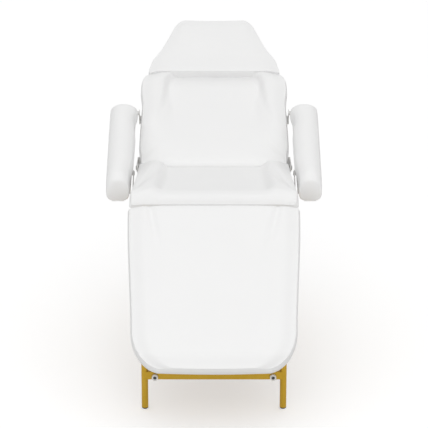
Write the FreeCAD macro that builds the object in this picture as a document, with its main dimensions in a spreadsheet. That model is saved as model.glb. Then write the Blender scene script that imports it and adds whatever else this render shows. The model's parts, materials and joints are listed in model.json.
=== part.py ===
import FreeCAD, Part
import math
import os
from dataclasses import dataclass

import Sketcher

# Beauty treatment chair, millimetres. X runs across, the foot end is at -Y, the head end at +Y, Z is up.
# The origin is on the floor, below the middle of the chair as it stands in its rest pose.

SIZES = {
    # Overall stance
    "seat_top": 697,
    "leg_hinge_y": -365.8,
    "hinge_spacing": 484,
    "back_angle": 33,
    "leg_drop_angle": 52,
    # Steel tube
    "tube_size": 25,
    "tube_wall": 1.5,
    "tube_edge": 2.5,
    "fit_gap": 0.05,
    "leg_diameter": 22,
    "leg_half_span": 228,
    "base_height": 350,
    "rail_tall": 28,
    "rail_deep": 22,
    "low_rail_height": 118,
    "front_leg_reach": 170,
    "rear_leg_reach": 800,
    "rail_overhang": 16,
    "rear_post_setback": 54,
    "seat_tube_overrun": 5,
    # Foot caps and rail buffers
    "cap_diameter": 21,
    "cap_height": 24,
    "cap_floor": 5,
    "buffer_diameter": 21,
    "buffer_depth": 10,
    "buffer_setback": 34,
    "buffer_drop": 5,
    "buffer_bolt_diameter": 11,
    "buffer_recess": 4,
    "buffer_bolt_set_in": 1,
    # Padding on plywood
    "pad_stack": 70,
    "board_thick": 12,
    "board_inset": 18,
    "board_corner": 30,
    "board_setback": 6,
    "section_gap": 4,
    "seat_half_width": 283,
    "seat_rear_narrowing": 16,
    "seat_roll": 46,
    "seat_recess": 18,
    "wing_width": 95,
    "crease_gap": 37,
    "back_half_width": 270,
    "back_panel_length": 484,
    "back_recess": 18,
    "back_nose": 29,
    "shoulder_spread": 7,
    "shoulder_draw": 34,
    "shoulder_fall": 6,
    "nose_draw": 5,
    "head_length": 280,
    "head_half_width": 244,
    "head_top_half_width": 147,
    "head_neck": 34,
    "head_neck_step": 14,
    "head_rise": 4,
    "head_bevel": 72,
    "head_bevel_fall": 22,
    "head_top_fall": 8,
    "head_corner": 36,
    "head_gap": 1.5,
    "leg_rest_half_width": 285,
    "leg_rest_taper": 18,
    "leg_rest_length": 556,
    "leg_rest_corner": 150,
    "leg_rest_lip": 3,
    "leg_rest_draw": 1,
    "channel_depth": 4,
    "channel_inset": 70,
    "channel_spread": 60,
    "channel_length": 170,
    "side_tuck": 5,
    "crown": 3,
    "panel_crease": 0.5,
    # Hinges
    "pin_diameter": 9.6,
    "pin_clearance": 0.35,
    "bolt_head_diameter": 16,
    "bolt_head_depth": 2,
    "plate_thick": 3,
    "plate_face": 272,
    "plate_width": 28,
    "plate_heel": 22,
    "plate_toe": 5,
    "hinge_collar": 1.2,
    "back_tube_overrun": 15,
    "ear_overlap": 10,
    "ear_foot": 50,
    "layer_gap": 0.5,
    "leg_rest_tube_gap": 4,
    # Arms and their links
    "arm_link_length": 280,
    "arm_tilt": 20,
    "arm_front_reach": 187,
    "arm_length": 509,
    "arm_thick": 90,
    "arm_nose_drop": 8,
    "arm_inner": 289,
    "arm_front_width": 80,
    "arm_rear_spread": 10,
    "arm_flare": 10,
    "arm_pivot_drop": 14,
    "arm_bar_inner": 290,
    "arm_bar_thick": 4,
    "arm_bar_tall": 24,
    "arm_bar_setback": 60,
    "arm_flange_width": 36,
    "arm_flange_setback": 48,
    "bracket_foot": 21,
    "link_foot_drop": 179,
    "link_inner": 281.5,
    "link_thick": 3,
    "link_width": 20,
    "link_eye_radius": 11.5,
    # Ratchet stays
    "back_stay_arm": 290,
    "back_lug_angle": 15,
    "leg_stay_arm": 215,
    "leg_lug_angle": 8,
    "leg_anchor_angle": 127,
    "stay_thick": 4,
    "stay_width": 28,
    "stay_link_width": 22,
    "stay_gap": 1,
    "stay_pin_diameter": 8,
    "stay_slot_play": 1,
    "back_pin_reach": 260,
    "back_slot_near": 88,
    "back_slot_far": 305,
    "leg_pin_reach": 170,
    "leg_slot_near": 62,
    "leg_slot_far": 205,
    "notch_radius": 6,
    "notch_pitch": 27,
    "notch_count": 6,
    "notch_start": 8,
    "lug_radius": 13,
    "lug_stem": 20,
}

SIDES = {"left": -1, "right": 1}

doc = FreeCAD.newDocument("TreatmentChair")
sheet = doc.addObject("Spreadsheet::Sheet", "Sizes")
for row, (alias, number) in enumerate(SIZES.items(), start=1):
    sheet.set(f"A{row}", alias)
    sheet.set(f"B{row}", str(number))
    sheet.setAlias(f"B{row}", alias)
doc.recompute()

subparts = []


def value(expression):
    """Return the number that an expression on the sheet has now."""
    return float(sheet.evalExpression(str(expression)))


def sine(angle):
    return f"sin(({angle}) * 1 deg)"


def cosine(angle):
    return f"cos(({angle}) * 1 deg)"


# Places that several pieces share, written as expressions on the sheet
HALF_TUBE = "(Sizes.tube_size / 2)"
LEG_RADIUS = "(Sizes.leg_diameter / 2)"
PIN_RADIUS = "(Sizes.pin_diameter / 2)"
HOLE_RADIUS = "(Sizes.pin_diameter / 2 + Sizes.pin_clearance)"
HEAD_RADIUS = "(Sizes.bolt_head_diameter / 2)"
LEG_HINGE_Z = "(Sizes.seat_top - Sizes.pad_stack - Sizes.tube_size / 2)"
BACK_HINGE_Y = "(Sizes.leg_hinge_y + Sizes.hinge_spacing)"
BACK_HINGE_Z = "(Sizes.seat_top - Sizes.pad_stack / 2)"
FRONT_LEG_Y = "(Sizes.leg_hinge_y - Sizes.front_leg_reach)"
REAR_LEG_Y = "(Sizes.leg_hinge_y + Sizes.rear_leg_reach)"
REAR_POST_Y = f"({BACK_HINGE_Y} - Sizes.rear_post_setback)"
BACK_UNDERSIDE = "(-Sizes.pad_stack / 2)"
BACK_ANCHOR_Z = f"({BACK_HINGE_Z} - Sizes.back_stay_arm)"
LEG_ANCHOR_Y = f"(Sizes.leg_hinge_y - Sizes.leg_stay_arm * {cosine('Sizes.leg_anchor_angle')})"
LEG_ANCHOR_Z = f"({LEG_HINGE_Z} - Sizes.leg_stay_arm * {sine('Sizes.leg_anchor_angle')})"
FRONT_POST_Y = LEG_ANCHOR_Y
LEG_REST_TUBE_X = "(Sizes.leg_half_span - Sizes.tube_size - Sizes.leg_rest_tube_gap)"
BACK_LUG_Y = f"(Sizes.back_stay_arm * {cosine('Sizes.back_lug_angle')})"
BACK_LUG_Z = f"(-Sizes.back_stay_arm * {sine('Sizes.back_lug_angle')})"
LEG_LUG_Y = f"(-Sizes.leg_stay_arm * {cosine('Sizes.leg_lug_angle')})"
LEG_LUG_Z = f"(-Sizes.leg_stay_arm * {sine('Sizes.leg_lug_angle')})"
LINK_RUN = f"(Sizes.arm_link_length * {cosine('Sizes.back_angle')})"
LINK_RISE = f"(Sizes.arm_link_length * {sine('Sizes.back_angle')})"
LINK_FOOT_Z = "(Sizes.seat_top - Sizes.link_foot_drop)"
ARM_PIVOT_Y = f"({FRONT_POST_Y} + {LINK_RUN})"
ARM_PIVOT_Z = f"({LINK_FOOT_Z} + {LINK_RISE})"
ARM_REAR_DY = f"({BACK_HINGE_Y} - {FRONT_POST_Y})"
ARM_REAR_DZ = f"({BACK_HINGE_Z} - {LINK_FOOT_Z})"
ARM_REAR_Y = f"({ARM_REAR_DY} * {cosine('Sizes.arm_tilt')} + {ARM_REAR_DZ} * {sine('Sizes.arm_tilt')})"
ARM_REAR_Z = f"({ARM_REAR_DZ} * {cosine('Sizes.arm_tilt')} - {ARM_REAR_DY} * {sine('Sizes.arm_tilt')})"
ARM_PAD_FRONT = "(-Sizes.arm_front_reach)"
EAR_FACE = "(Sizes.plate_face + Sizes.plate_thick + Sizes.layer_gap)"
STRIP_FACE = "(Sizes.stay_gap / 2)"


@dataclass(frozen=True)
class Frame:
    """A place to model in: an origin, and a turn about X in degrees, as expressions."""

    y: str = "0"
    z: str = "0"
    angle: str = "0"
    x: str = "0"


FLOOR = Frame()
LEG_REST = Frame("Sizes.leg_hinge_y", LEG_HINGE_Z, "Sizes.leg_drop_angle")
BACK = Frame(BACK_HINGE_Y, BACK_HINGE_Z, "Sizes.back_angle")
ARM = Frame(ARM_PIVOT_Y, ARM_PIVOT_Z, "Sizes.arm_tilt")
ARM_LINK = Frame(FRONT_POST_Y, LINK_FOOT_Z, "Sizes.back_angle")
BACK_STRIP = Frame(BACK_HINGE_Y, BACK_ANCHOR_Z, "(Sizes.back_angle - Sizes.back_lug_angle + 90) / 2")
BACK_STAY_TURN = BACK_STRIP.angle
LEG_STAY_TURN = "(Sizes.leg_drop_angle + Sizes.leg_lug_angle + Sizes.leg_anchor_angle - 180) / 2"
LEG_STRIP = Frame(LEG_ANCHOR_Y, LEG_ANCHOR_Z, LEG_STAY_TURN)


def turned(frame, y, z, angle):
    """Return a frame at y, z of another frame, with a turn of its own."""
    across, along = cosine(frame.angle), sine(frame.angle)
    return Frame(
        f"({frame.y} + ({y}) * {across} - ({z}) * {along})",
        f"({frame.z} + ({y}) * {along} + ({z}) * {across})",
        angle,
    )


BACK_STAY_LINK = turned(BACK, BACK_LUG_Y, BACK_LUG_Z, BACK_STAY_TURN)
LEG_STAY_LINK = turned(LEG_REST, LEG_LUG_Y, LEG_LUG_Z, LEG_STAY_TURN)


def place(piece, frame):
    """Bind a piece's placement to its frame."""
    piece.Placement = FreeCAD.Placement(FreeCAD.Vector(), FreeCAD.Rotation(FreeCAD.Vector(1, 0, 0), 1))
    piece.setExpression("Placement.Rotation.Angle", f"({frame.angle}) * 1 deg")
    piece.setExpression("Placement.Base.x", frame.x)
    piece.setExpression("Placement.Base.y", frame.y)
    piece.setExpression("Placement.Base.z", frame.z)


def new_body(label, frame):
    """Start a sub-part that is modelled in a frame."""
    body = doc.addObject("PartDesign::Body", label)
    body.Label = label
    place(body, frame)
    subparts.append(body)
    return body


def circle(u, v, radius):
    """Return a round loop for a sketch."""
    return ("circle", str(u), str(v), str(radius))


def rectangle(u, v, wide, tall):
    """Return a loop for a rectangle about its middle."""
    corners = ((-1, -1), (1, -1), (1, 1), (-1, 1))
    return [(f"({u}) + {a} * ({wide}) / 2", f"({v}) + {b} * ({tall}) / 2") for a, b in corners]


def hexagon(u, v, radius):
    """Return a loop for a hexagon about its middle, with the radius to its corners."""
    turns = range(0, 360, 60)
    return [(f"({u}) + ({radius}) * {cosine(turn)}", f"({v}) + ({radius}) * {sine(turn)}") for turn in turns]


def bind(sketch, kind, first, second, expression):
    """Add a distance from the sketch origin to a point, bound to an expression."""
    index = sketch.addConstraint(Sketcher.Constraint(kind, -1, 1, first, second, value(expression)))
    sketch.setExpression(f"Constraints[{index}]", str(expression))


def draw(sketch, loop):
    """Draw one loop, every point of it bound to the sheet."""
    start = sketch.GeometryCount
    if loop[0] == "circle":
        u, v, radius = loop[1:]
        centre = FreeCAD.Vector(value(u), value(v), 0)
        sketch.addGeometry(Part.Circle(centre, FreeCAD.Vector(0, 0, 1), value(radius)))
        bind(sketch, "DistanceX", start, 3, u)
        bind(sketch, "DistanceY", start, 3, v)
        index = sketch.addConstraint(Sketcher.Constraint("Radius", start, value(radius)))
        sketch.setExpression(f"Constraints[{index}]", radius)
        return
    points = [FreeCAD.Vector(value(u), value(v), 0) for u, v in loop]
    count = len(points)
    for number, point in enumerate(points):
        sketch.addGeometry(Part.LineSegment(point, points[(number + 1) % count]))
    for number in range(count):
        after = start + (number + 1) % count
        sketch.addConstraint(Sketcher.Constraint("Coincident", start + number, 2, after, 1))
    for number, (u, v) in enumerate(loop):
        bind(sketch, "DistanceX", start + number, 1, u)
        bind(sketch, "DistanceY", start + number, 1, v)


PLANES = {"X": "YZ_Plane", "Y": "XZ_Plane", "Z": "XY_Plane"}


def new_sketch(body, axis, loops, start, end):
    """Draw loops square to an axis, on the side of the run that the extrusion leaves from."""
    planes = {plane.Role: plane for plane in body.Origin.OriginFeatures}
    sketch = body.newObject("Sketcher::SketchObject", f"{body.Name}_sketch")
    sketch.AttachmentSupport = [(planes[PLANES[axis]], "")]
    sketch.MapMode = "FlatFace"
    offset = f"-({end})" if axis == "Y" else f"({start})"
    sketch.setExpression("AttachmentOffset.Base.z", offset)
    for loop in loops:
        draw(sketch, loop)
    return sketch


def prism(body, axis, loops, start, end):
    """Add a straight run of a profile, from start to end along an axis."""
    pad = body.newObject("PartDesign::Pad", f"{body.Name}_run")
    pad.Profile = new_sketch(body, axis, loops, start, end)
    pad.setExpression("Length", f"({end}) - ({start})")
    doc.recompute()
    return pad


def cut(body, axis, loops, start, end):
    """Cut a straight run of a profile out of a body, and make sure that something went."""
    before = body.Shape.Volume
    pocket = body.newObject("PartDesign::Pocket", f"{body.Name}_cut")
    pocket.Profile = new_sketch(body, axis, loops, start, end)
    pocket.Reversed = True
    pocket.setExpression("Length", f"({end}) - ({start})")
    doc.recompute()
    if not body.Shape.Volume < before:
        raise RuntimeError(f"{body.Label}: a cut took nothing away")
    return pocket


def round_edges(body, radius, axis, wanted):
    """Round the straight edges along an axis whose middle passes a test."""
    direction = FreeCAD.Vector(axis == "X", axis == "Y", axis == "Z")
    names = []
    base = body.Tip
    for number, edge in enumerate(base.Shape.Edges, start=1):
        if edge.Curve.TypeId != "Part::GeomLine":
            continue
        run = edge.Vertexes[1].Point - edge.Vertexes[0].Point
        if abs(abs(run.normalize().dot(direction)) - 1) < 1e-6 and wanted(edge.CenterOfMass):
            names.append(f"Edge{number}")
    fillet = body.newObject("PartDesign::Fillet", f"{body.Name}_round")
    fillet.Base = (base, names)
    fillet.setExpression("Radius", radius)
    doc.recompute()
    return fillet


def box_tube(label, frame, axis, u, v, wide, tall, start, end):
    """Make a straight rectangular tube with rounded edges."""
    body = new_body(label, frame)
    inner = [f"({side}) - 2 * Sizes.tube_wall" for side in (wide, tall)]
    prism(body, axis, [rectangle(u, v, wide, tall), rectangle(u, v, *inner)], start, end)
    middle = (value(u), value(v))
    reach = (value(wide) / 2 - 1e-3, value(tall) / 2 - 1e-3)
    pick = {"X": lambda p: (p.y, p.z), "Y": lambda p: (p.x, p.z), "Z": lambda p: (p.x, p.y)}[axis]

    def is_outer(point):
        across, up = pick(point)
        return abs(across - middle[0]) > reach[0] and abs(up - middle[1]) > reach[1]

    round_edges(body, "Sizes.tube_edge", axis, is_outer)
    return body


def across(side, inner, outer):
    """Return the start and end of a run along X that lies on one side of the chair."""
    ends = (f"({side} * ({inner}))", f"({side} * ({outer}))")
    return ends if side > 0 else ends[::-1]


def pivot(body, side, y, z, inner, outer, head_out=True):
    """Add a pivot pin with a hexagon head at its far end, along X from inner to outer."""
    far = "Sizes.bolt_head_depth"
    prism(body, "X", [circle(y, z, PIN_RADIUS)], *across(side, inner, outer))
    ends = (outer, f"({outer}) + {far}") if head_out else (f"({inner}) - {far}", inner)
    prism(body, "X", [hexagon(y, z, HEAD_RADIUS)], *across(side, *ends))


def make_base():
    """Legs, caps, rails and seat posts: all that stands on the floor and stays still."""
    rail_under = "(Sizes.base_height - Sizes.rail_tall)"
    for end, leg_y in (("front", FRONT_LEG_Y), ("rear", REAR_LEG_Y)):
        for name, side in SIDES.items():
            leg_x = f"({side} * Sizes.leg_half_span)"
            leg = new_body(f"leg_{end}_{name}", Frame(leg_y, "0", "0", leg_x))
            rings = [circle(0, 0, LEG_RADIUS), circle(0, 0, f"{LEG_RADIUS} - Sizes.tube_wall")]
            prism(leg, "Z", rings, "Sizes.cap_floor", rail_under)
            cap = new_body(f"foot_cap_{end}_{name}", Frame(leg_y, "0", "0", leg_x))
            prism(cap, "Z", [hexagon(0, 0, "Sizes.cap_diameter / 2")], "0", "Sizes.cap_floor")
            stem = f"{LEG_RADIUS} - Sizes.tube_wall - Sizes.fit_gap"
            glide = prism(cap, "Z", [hexagon(0, 0, stem)], "Sizes.cap_floor", "Sizes.cap_height")
            rim = cap.newObject("PartDesign::Chamfer", f"{cap.Name}_edge")
            rim.Base = (glide, edges_at(glide.Shape, 0))
            rim.setExpression("Size", "Sizes.cap_floor * 0.4")
            doc.recompute()
        rail = box_tube(f"low_rail_{end}", FLOOR, "X", leg_y, "Sizes.low_rail_height", "Sizes.rail_deep",
                        "Sizes.rail_tall", "-Sizes.leg_half_span", "Sizes.leg_half_span")
        saddles = [circle(f"{side} * Sizes.leg_half_span", leg_y, f"{LEG_RADIUS} + Sizes.fit_gap")
                   for side in SIDES.values()]
        cut(rail, "Z", saddles, "Sizes.low_rail_height - Sizes.rail_tall",
            "Sizes.low_rail_height + Sizes.rail_tall")
    for name, side in SIDES.items():
        rail_x = f"{side} * Sizes.leg_half_span"
        box_tube(f"side_rail_{name}", FLOOR, "Y", rail_x, "Sizes.base_height - Sizes.rail_tall / 2",
                 "Sizes.tube_size", "Sizes.rail_tall", f"{FRONT_LEG_Y} - Sizes.rail_overhang",
                 f"{REAR_LEG_Y} + Sizes.rail_overhang")
        for end, post_y in (("front", FRONT_POST_Y), ("rear", REAR_POST_Y)):
            post = box_tube(f"seat_post_{end}_{name}", FLOOR, "Z", rail_x, post_y, "Sizes.tube_size",
                            "Sizes.tube_size", "Sizes.base_height", f"{LEG_HINGE_Z} - {HALF_TUBE}")
            if end == "front":
                face = f"Sizes.leg_half_span + {HALF_TUBE}"
                stop = "Sizes.link_inner - Sizes.layer_gap"
                prism(post, "X", [hexagon(post_y, LINK_FOOT_Z, HEAD_RADIUS)], *across(side, face, stop))
                pivot(post, side, post_y, LINK_FOOT_Z, stop,
                      "Sizes.link_inner + Sizes.link_thick + Sizes.layer_gap")


def edges_at(shape, height):
    """Return the names of the level edges at a height."""
    return [f"Edge{number}" for number, edge in enumerate(shape.Edges, start=1)
            if abs(edge.BoundBox.ZMin - height) < 1e-3 and abs(edge.BoundBox.ZMax - height) < 1e-3]


def lug(body, y, z, stem, start, end):
    """Add a lug plate: a round eye and a stem that runs back to what carries it."""
    prism(body, "X", [circle(y, z, "Sizes.lug_radius")], start, end)
    prism(body, "X", [stem], start, end)


def make_stay_tubes():
    """Cross tubes between the seat posts, with the lugs that the ratchet strips turn on."""
    inner = f"(Sizes.leg_half_span - {HALF_TUBE})"
    plate = (f"-({STRIP_FACE} + Sizes.stay_thick)", f"-{STRIP_FACE}")
    pin_end = f"{STRIP_FACE} + Sizes.stay_thick + Sizes.layer_gap"
    rear_tube = box_tube("stay_tube_rear", FLOOR, "X", REAR_POST_Y, BACK_ANCHOR_Z, "Sizes.tube_size",
                         "Sizes.tube_size", f"-{inner}", inner)
    reach = f"({BACK_HINGE_Y} - {REAR_POST_Y} - {HALF_TUBE})"
    stem = rectangle(f"{BACK_HINGE_Y} - {reach} / 2", BACK_ANCHOR_Z, reach, "Sizes.lug_stem")
    lug(rear_tube, BACK_HINGE_Y, BACK_ANCHOR_Z, stem, *plate)
    pivot(rear_tube, 1, BACK_HINGE_Y, BACK_ANCHOR_Z, f"-{STRIP_FACE}", pin_end)
    drop = "(Sizes.stay_width / 2 + Sizes.tube_size)"
    tube_z = f"({LEG_ANCHOR_Z} - {drop})"
    front_tube = box_tube("stay_tube_front", FLOOR, "X", FRONT_POST_Y, tube_z, "Sizes.tube_size",
                          "Sizes.tube_size", f"-{inner}", inner)
    rise = f"({drop} - {HALF_TUBE})"
    stem = rectangle(FRONT_POST_Y, f"{LEG_ANCHOR_Z} - {rise} / 2", "Sizes.lug_stem", rise)
    lug(front_tube, LEG_ANCHOR_Y, LEG_ANCHOR_Z, stem, *plate)
    pivot(front_tube, 1, LEG_ANCHOR_Y, LEG_ANCHOR_Z, f"-{STRIP_FACE}", pin_end)


def make_buffers():
    """White buffers with a recessed bolt on the front of the low rail."""
    face = f"({FRONT_LEG_Y} - Sizes.rail_deep / 2)"
    height = "(Sizes.low_rail_height - Sizes.buffer_drop)"
    front = f"({face} - Sizes.buffer_depth)"
    for name, side in SIDES.items():
        x = f"{side} * (Sizes.leg_half_span - Sizes.buffer_setback)"
        buffer = new_body(f"rail_buffer_{name}", FLOOR)
        prism(buffer, "Y", [circle(x, height, "Sizes.buffer_diameter / 2")], front, face)
        well = "Sizes.buffer_bolt_diameter / 2"
        cut(buffer, "Y", [circle(x, height, well)], front, f"{front} + Sizes.buffer_recess")
        bolt = new_body(f"buffer_bolt_{name}", FLOOR)
        run = (f"{front} + Sizes.buffer_bolt_set_in", f"{front} + Sizes.buffer_recess")
        prism(bolt, "Y", [circle(x, height, f"{well} - Sizes.fit_gap")], *run)


def hinged_tube(label, frame, x, foot, direction):
    """Make a rectangular tube whose hinge end is closed and rounded about the hinge pin."""
    body = new_body(label, frame)
    ends = (f"{x} - {HALF_TUBE}", f"{x} + {HALF_TUBE}")
    prism(body, "X", [circle(0, 0, HALF_TUBE)], *ends)
    run = sorted(("0", foot), key=value)
    length = f"({run[1]}) - ({run[0]})"
    prism(body, "X", [rectangle(f"({foot}) / 2", "0", length, "Sizes.tube_size")], *ends)
    bore = "Sizes.tube_size - 2 * Sizes.tube_wall"
    plug = f"{direction} * Sizes.tube_size"
    cut(body, "Y", [rectangle(x, "0", bore, bore)], *sorted((plug, foot), key=value))
    cut(body, "X", [circle(0, 0, HOLE_RADIUS)], *ends)
    return body


def make_seat():
    """Seat frame, board and cushion, with the hinge plates and pins that the moving parts turn on."""
    seat_frame = Frame("Sizes.leg_hinge_y", LEG_HINGE_Z)
    inner = f"(Sizes.leg_half_span - {HALF_TUBE})"
    rear_end = "Sizes.hinge_spacing + Sizes.seat_tube_overrun"
    for name, side in SIDES.items():
        hinged_tube(f"seat_tube_{name}", seat_frame, f"{side} * Sizes.leg_half_span", rear_end, 1)
    crosses = (("front", FRONT_POST_Y), ("rear", REAR_POST_Y))
    for end, cross_y in crosses:
        box_tube(f"seat_cross_{end}", FLOOR, "X", cross_y, LEG_HINGE_Z, "Sizes.tube_size", "Sizes.tube_size",
                 f"-{inner}", inner)
    rod = new_body("leg_hinge_rod", seat_frame)
    rod_half = f"(Sizes.leg_half_span + {HALF_TUBE} + Sizes.layer_gap)"
    prism(rod, "X", [circle(0, 0, PIN_RADIUS)], f"-{rod_half}", rod_half)
    for side in SIDES.values():
        ends = across(side, rod_half, f"{rod_half} + Sizes.bolt_head_depth")
        prism(rod, "X", [hexagon(0, 0, HEAD_RADIUS)], *ends)
    board = new_body("seat_board", seat_frame)
    wide = "2 * (Sizes.seat_half_width - Sizes.board_inset)"
    depth = "(Sizes.hinge_spacing - Sizes.crease_gap - 2 * Sizes.board_setback)"
    prism(board, "Z", [rectangle("0", f"Sizes.board_setback + {depth} / 2", wide, depth)], HALF_TUBE,
          f"{HALF_TUBE} + Sizes.board_thick")
    round_edges(board, "Sizes.board_corner", "Z", lambda point: True)
    make_hinge_plates()


def make_hinge_plates():
    """Upright plates outside the padding that carry the back's hinge bolts."""
    tube_side = f"(Sizes.leg_half_span + {HALF_TUBE})"
    plate_out = "(Sizes.plate_face + Sizes.plate_thick)"
    foot_z = f"({BACK_UNDERSIDE} - Sizes.tube_size)"
    half = "(Sizes.plate_width / 2)"
    for name, side in SIDES.items():
        frame = Frame(BACK_HINGE_Y, BACK_HINGE_Z)
        plate = new_body(f"hinge_plate_{name}", frame)
        upright = [("-Sizes.plate_heel", foot_z), ("Sizes.plate_toe", foot_z), (half, "0"), (f"-{half}", "0")]
        span = across(side, "Sizes.plate_face", plate_out)
        prism(plate, "X", [upright], *span)
        prism(plate, "X", [circle(0, 0, half)], *span)
        ends = across(side, tube_side, plate_out)
        heel, toe = "-Sizes.plate_heel", "Sizes.plate_toe"
        flange = [(ends[0], heel), (ends[1], heel), (ends[1], toe), (ends[0], toe)]
        prism(plate, "Z", [flange], foot_z, f"{foot_z} + Sizes.plate_thick")
        cut(plate, "X", [circle(0, 0, f"{PIN_RADIUS} + Sizes.fit_gap")], *span)
        bolt = new_body(f"back_hinge_bolt_{name}", frame)
        collar = ("Sizes.plate_face - Sizes.hinge_collar", "Sizes.plate_face")
        prism(bolt, "X", [hexagon(0, 0, HEAD_RADIUS)], *across(side, *collar))
        ear_out = f"{EAR_FACE} + Sizes.plate_thick + Sizes.layer_gap"
        pivot(bolt, side, "0", "0", "Sizes.plate_face", ear_out)


def make_back():
    """Back frame, its hinge ears, the arm brackets and the plywood under the padding."""
    tube_z = f"({BACK_UNDERSIDE} - {HALF_TUBE})"
    tube_side = f"(Sizes.leg_half_span + {HALF_TUBE})"
    inner = f"(Sizes.leg_half_span - {HALF_TUBE})"
    panel_end = "(Sizes.back_panel_length - Sizes.board_inset)"
    for name, side in SIDES.items():
        box_tube(f"back_tube_{name}", BACK, "Y", f"{side} * Sizes.leg_half_span", tube_z, "Sizes.tube_size",
                 "Sizes.tube_size", "Sizes.crease_gap - Sizes.back_tube_overrun", panel_end)
        plate_out = f"({EAR_FACE} + Sizes.plate_thick)"
        flange_z = (f"{BACK_UNDERSIDE} - Sizes.plate_thick", BACK_UNDERSIDE)
        half = "(Sizes.plate_width / 2)"
        ear = new_body(f"back_ear_{name}", BACK)
        near, far = "(Sizes.crease_gap - Sizes.ear_overlap)", "(Sizes.crease_gap + Sizes.ear_foot)"
        upright = [(near, flange_z[0]), (far, flange_z[0]), (f"{half} * 0.8", f"{half} * 0.6"),
                   (f"-{half} * 0.6", f"-{half} * 0.8")]
        prism(ear, "X", [upright], *across(side, EAR_FACE, plate_out))
        prism(ear, "X", [circle(0, 0, half)], *across(side, EAR_FACE, plate_out))
        ends = across(side, tube_side, plate_out)
        flange = [(ends[0], near), (ends[1], near), (ends[1], far), (ends[0], far)]
        prism(ear, "Z", [flange], *flange_z)
        cut(ear, "X", [circle(0, 0, HOLE_RADIUS)], *across(side, EAR_FACE, plate_out))
        bracket = new_body(f"arm_bracket_{name}", BACK)
        pivot_y = "Sizes.arm_link_length"
        middle = rectangle(pivot_y, f"{BACK_UNDERSIDE} / 2", "Sizes.plate_width", "Sizes.pad_stack / 2")
        prism(bracket, "X", [middle], *across(side, EAR_FACE, plate_out))
        prism(bracket, "X", [circle(pivot_y, 0, half)], *across(side, EAR_FACE, plate_out))
        near, far = f"({pivot_y} - Sizes.bracket_foot)", f"({pivot_y} + Sizes.bracket_foot)"
        flange = [(ends[0], near), (ends[1], near), (ends[1], far), (ends[0], far)]
        prism(bracket, "Z", [flange], *flange_z)
        spacer = "(Sizes.arm_bar_inner - Sizes.layer_gap)"
        prism(bracket, "X", [circle(pivot_y, 0, HEAD_RADIUS)], *across(side, plate_out, spacer))
        pin_end = "Sizes.arm_bar_inner + Sizes.arm_bar_thick + Sizes.layer_gap"
        pivot(bracket, side, pivot_y, "0", spacer, pin_end)
    lower = box_tube("back_cross_lower", BACK, "X", BACK_LUG_Y, tube_z, "Sizes.tube_size", "Sizes.tube_size",
                     f"-{inner}", inner)
    drop = f"({BACK_UNDERSIDE} - Sizes.tube_size - ({BACK_LUG_Z}))"
    stem = rectangle(BACK_LUG_Y, f"{BACK_LUG_Z} + {drop} / 2", "Sizes.lug_stem", drop)
    lug(lower, BACK_LUG_Y, BACK_LUG_Z, stem, STRIP_FACE, f"{STRIP_FACE} + Sizes.stay_thick")
    pivot(lower, -1, BACK_LUG_Y, BACK_LUG_Z, f"-{STRIP_FACE}",
          f"{STRIP_FACE} + Sizes.stay_thick + Sizes.layer_gap")
    box_tube("back_cross_upper", BACK, "X", f"{panel_end} - Sizes.tube_size", tube_z, "Sizes.tube_size",
             "Sizes.tube_size", f"-{inner}", inner)
    board = new_body("back_board", BACK)
    low_half = "(Sizes.back_half_width - Sizes.board_inset)"
    neck_half = "(Sizes.head_half_width - Sizes.board_inset)"
    top_half = "(Sizes.head_top_half_width - Sizes.board_inset)"
    head_end = "(Sizes.back_panel_length + Sizes.head_length - Sizes.board_inset)"
    half_outline = [(low_half, "2 * Sizes.board_setback"),
                    (low_half, "Sizes.back_panel_length - 2 * Sizes.shoulder_draw"),
                    (neck_half, "Sizes.back_panel_length"),
                    (neck_half, "Sizes.back_panel_length + Sizes.head_bevel / 2"), (top_half, head_end)]
    outline = half_outline + [(f"-{u}", v) for u, v in reversed(half_outline)]
    prism(board, "Z", [outline], BACK_UNDERSIDE, f"{BACK_UNDERSIDE} + Sizes.board_thick")
    round_edges(board, "Sizes.board_corner", "Z", lambda point: True)


def make_leg_rest():
    """Leg rest frame and board, hung on the hinge rod."""
    inner = f"({LEG_REST_TUBE_X} - {HALF_TUBE})"
    tube_end = "-(Sizes.leg_rest_length - Sizes.leg_rest_corner / 2)"
    for name, side in SIDES.items():
        hinged_tube(f"leg_rest_tube_{name}", LEG_REST, f"{side} * {LEG_REST_TUBE_X}", tube_end, -1)
    upper = box_tube("leg_rest_cross_upper", LEG_REST, "X", LEG_LUG_Y, "0", "Sizes.tube_size",
                     "Sizes.tube_size", f"-{inner}", inner)
    drop = f"(-{HALF_TUBE} - ({LEG_LUG_Z}))"
    stem = rectangle(LEG_LUG_Y, f"{LEG_LUG_Z} + {drop} / 2", "Sizes.lug_stem", drop)
    lug(upper, LEG_LUG_Y, LEG_LUG_Z, stem, STRIP_FACE, f"{STRIP_FACE} + Sizes.stay_thick")
    pin_end = f"{STRIP_FACE} + Sizes.stay_thick + Sizes.layer_gap"
    pivot(upper, -1, LEG_LUG_Y, LEG_LUG_Z, f"-{STRIP_FACE}", pin_end)
    box_tube("leg_rest_cross_lower", LEG_REST, "X", f"({tube_end}) + Sizes.tube_size", "0", "Sizes.tube_size",
             "Sizes.tube_size", f"-{inner}", inner)
    board = new_body("leg_rest_board", LEG_REST)
    rear_half = "(Sizes.leg_rest_half_width - Sizes.board_inset)"
    foot_half = "(Sizes.leg_rest_half_width - Sizes.leg_rest_taper - Sizes.board_inset)"
    ends = ("-(Sizes.section_gap + Sizes.board_setback)", "-(Sizes.leg_rest_length - Sizes.board_inset / 2)")
    outline = [(rear_half, ends[0]), (f"-{rear_half}", ends[0]), (f"-{foot_half}", ends[1]),
               (foot_half, ends[1])]
    prism(board, "Z", [outline], HALF_TUBE, f"{HALF_TUBE} + Sizes.board_thick")
    foot = value(ends[1])
    round_edges(board, "Sizes.leg_rest_corner", "Z", lambda point: abs(point.y - foot) < 1)


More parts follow.
